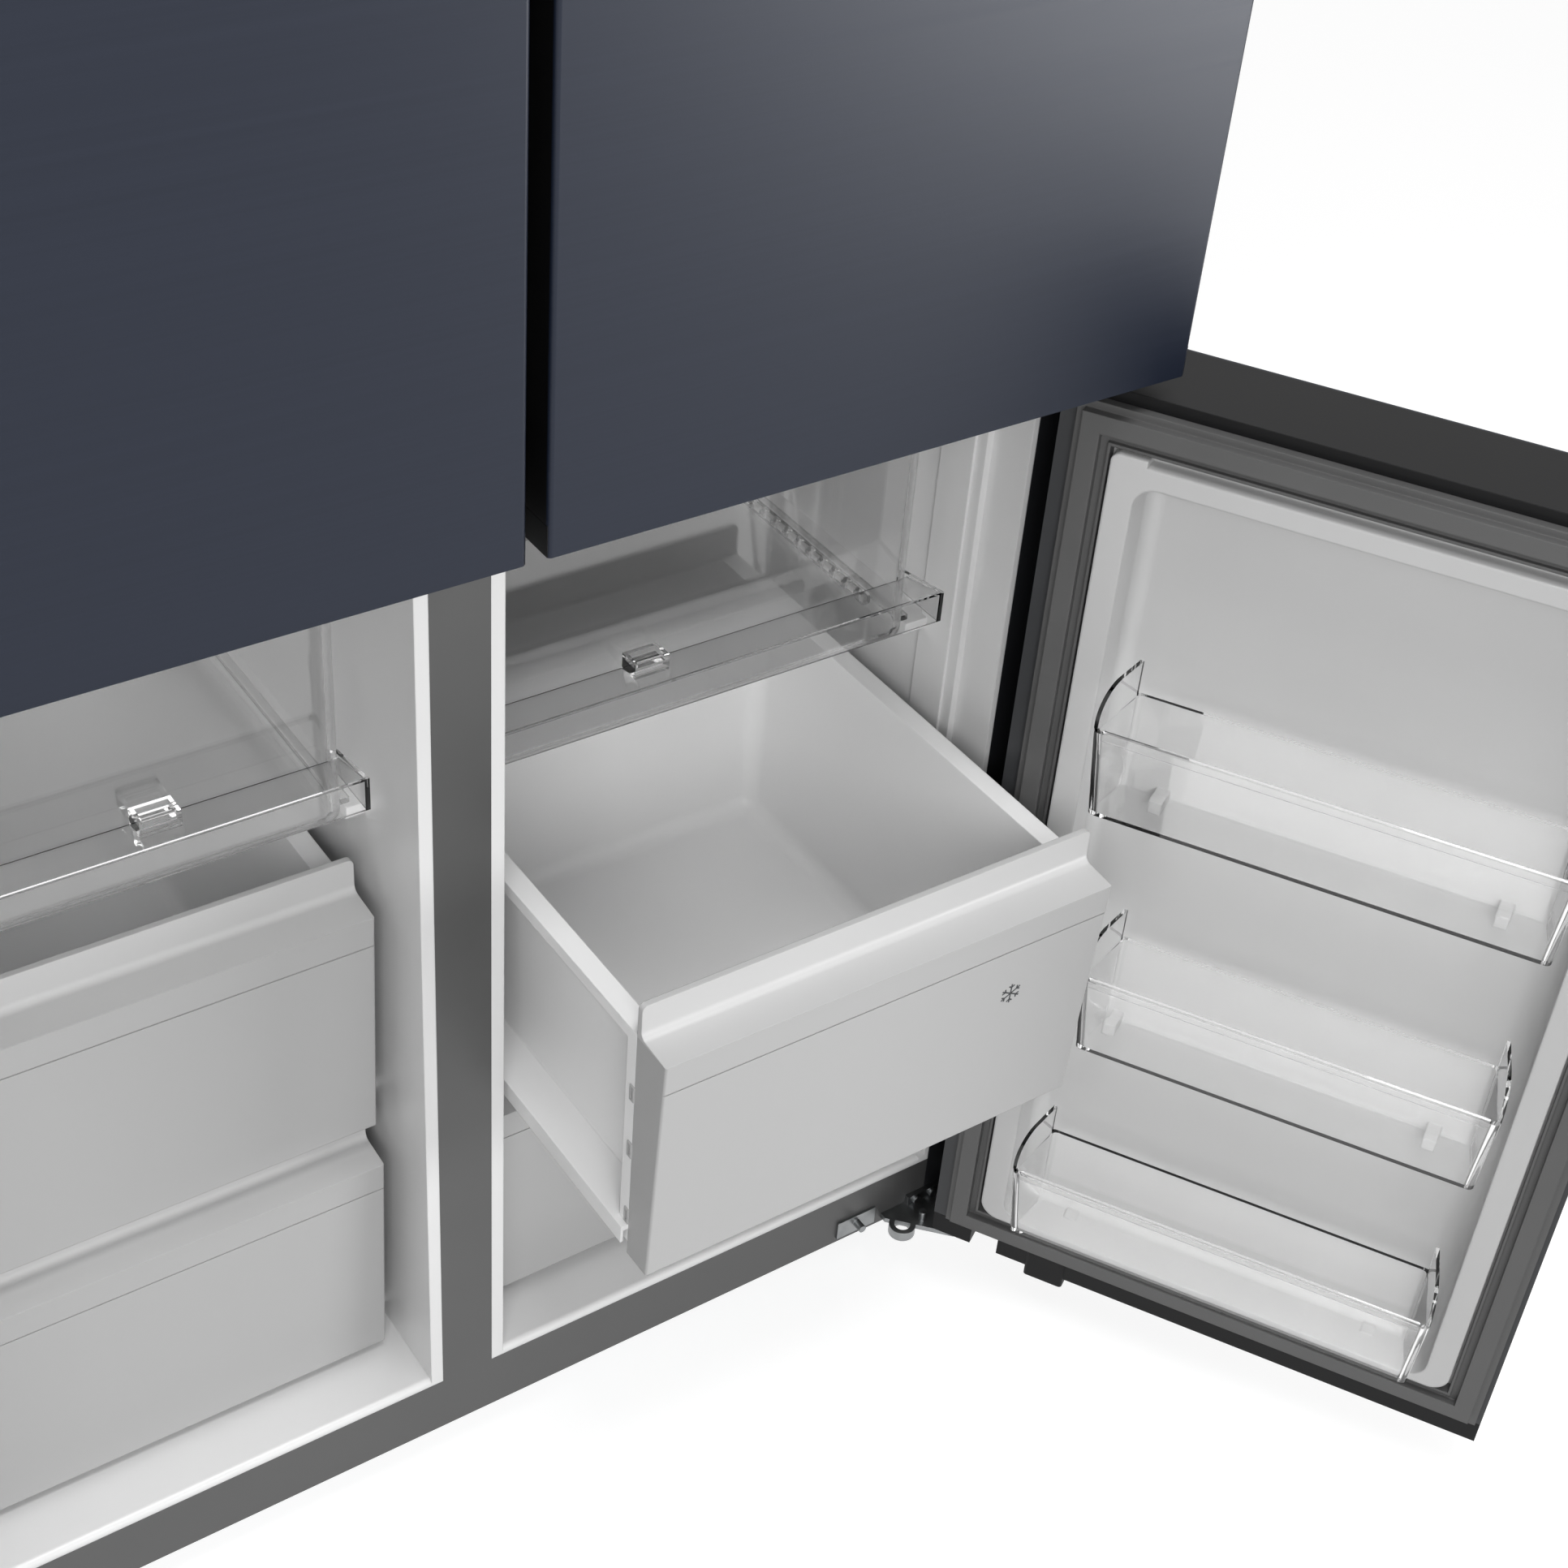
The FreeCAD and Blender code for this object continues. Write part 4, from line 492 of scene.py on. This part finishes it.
# Fans and shroud
# Dark grey moulded blades pushed on to the shafts of small motors.
# The plastic is matt with a fine grain.

fan_grey = moulded("fan_polypropylene", "#3a3b3d", "#444547", rough=0.5, grain_mm=1.5, ior=1.49)
dress(fan_grey, "condenser_fan", "evaporator_fan", "fan_shroud", "evaporator_motor")

# Glass shelves
# Toughened float glass with ground edges, laid on ledges in the upper liner.
# It is faintly green and almost flat.

shelf_glass = clear("toughened_glass", "#e2f0ea", "#eef7f3", ior=1.52, wave_mm=200, wave_depth_mm=0.05)
dress(shelf_glass, "glass_shelves")

# Floor
# A plain pale studio floor under soft light, which keeps the shadow of the object.
# It is painted board, matt and nearly even.

FLOOR_SIZE = 30.0
FLOOR_DROP = 0.0005
FLOOR_LIFT = 0.74


def studio_rays(tree):
    """One for the rays that show the studio: to the camera, by gloss or through clear plastic."""
    ray = add(tree, "ShaderNodeLightPath")
    direct = add(tree, "ShaderNodeMath", {0: ray.outputs["Is Camera Ray"], 1: ray.outputs["Is Glossy Ray"]},
                 operation="MAXIMUM")
    return add(tree, "ShaderNodeMath", {0: direct, 1: ray.outputs["Is Transmission Ray"]},
               operation="MAXIMUM")


bpy.ops.object.select_all(action="DESELECT")
bpy.ops.mesh.primitive_plane_add(size=FLOOR_SIZE, location=(0, 0, -FLOOR_DROP))
floor = bpy.context.object
floor.name = "studio_floor"
floor_paint, tree, shader, place = blank("studio_floor_paint")
speck = add(tree, "ShaderNodeTexNoise", {"Vector": place, "Scale": per_mm(1250), "Detail": 2.0})
add(tree, "ShaderNodeMixRGB", {"Fac": speck, "Color1": linear("#a4a4a4"), "Color2": linear("#aaaaaa")},
    shader.inputs["Base Color"])
shader.inputs["Roughness"].default_value = 0.9
add(tree, "ShaderNodeMath", {0: studio_rays(tree), 1: FLOOR_LIFT},
    shader.inputs["Emission Strength"], operation="MULTIPLY")
shader.inputs["Emission Color"].default_value = (1, 1, 1, 1)
floor.data.materials.append(floor_paint)

# Light
# A white room, a broad soft box overhead, two in front and one standing low on the right.
# The low front one reaches into the compartments, and the right one gives the doors a slow change of tone.

ROOM_LIGHT = 0.4
WALL_WHITE = 0.92
world = bpy.data.worlds.new("studio")
bpy.context.scene.world = world
world.use_nodes = True
tree = world.node_tree
wall = tree.nodes["Background"]
wall.inputs["Color"].default_value = (1, 1, 1, 1)
add(tree, "ShaderNodeMapRange", {"Value": studio_rays(tree), "To Min": ROOM_LIGHT, "To Max": WALL_WHITE},
    wall.inputs["Strength"])


def soft_box(name, place, aim, size, power):
    """A soft box at a place, turned to an aim, with its size in metres and its power in watts."""
    lamp = bpy.data.lights.new(name, "AREA")
    lamp.shape = "RECTANGLE"
    lamp.size, lamp.size_y = size
    lamp.energy = power
    holder = bpy.data.objects.new(name, lamp)
    holder.location = place
    holder.rotation_euler = (Vector(aim) - Vector(place)).to_track_quat("-Z", "Y").to_euler()
    holder.visible_camera = False
    bpy.context.scene.collection.objects.link(holder)


soft_box("top_box", (0.3, -0.9, 3.0), aim=(0.2, -0.2, 0.45), size=(1.6, 0.8), power=36)
soft_box("front_box", (-1.1, -2.1, 1.7), aim=(0.25, -0.05, 0.4), size=(1.2, 0.9), power=32)
soft_box("low_box", (-0.4, -3.0, 0.95), aim=(0.1, 0.0, 0.6), size=(2.0, 0.8), power=10)
soft_box("right_box", (2.1, -2.0, 0.4), aim=(0.3, -0.15, 0.9), size=(1.2, 0.6), power=34)

# Camera
# At the photograph's view, fitted to the door edges and the mullion.
# It has no shift and no depth of field.

CAMERA_RIGHT = Vector((0.827236, -0.557306, 0.071346))
CAMERA_AHEAD = Vector((0.478088, 0.631500, -0.610442))
CAMERA_PLACE = Vector((-0.506517, -0.961561 + cabinet_front, 1.428365))
CAMERA_LENS = 57.02
ahead = CAMERA_AHEAD.normalized()
right = (CAMERA_RIGHT - ahead * CAMERA_RIGHT.dot(ahead)).normalized()
up = right.cross(ahead)
view = bpy.data.cameras.new("view")
view.lens = CAMERA_LENS
view.sensor_width = 36.0
view.clip_start = 0.05
holder = bpy.data.objects.new("view", view)
turn = Matrix((right, up, -ahead)).transposed().to_4x4()
holder.matrix_world = Matrix.Translation(CAMERA_PLACE) @ turn
bpy.context.scene.collection.objects.link(holder)
bpy.context.scene.camera = holder
bpy.context.scene.view_settings.view_transform = "Standard"
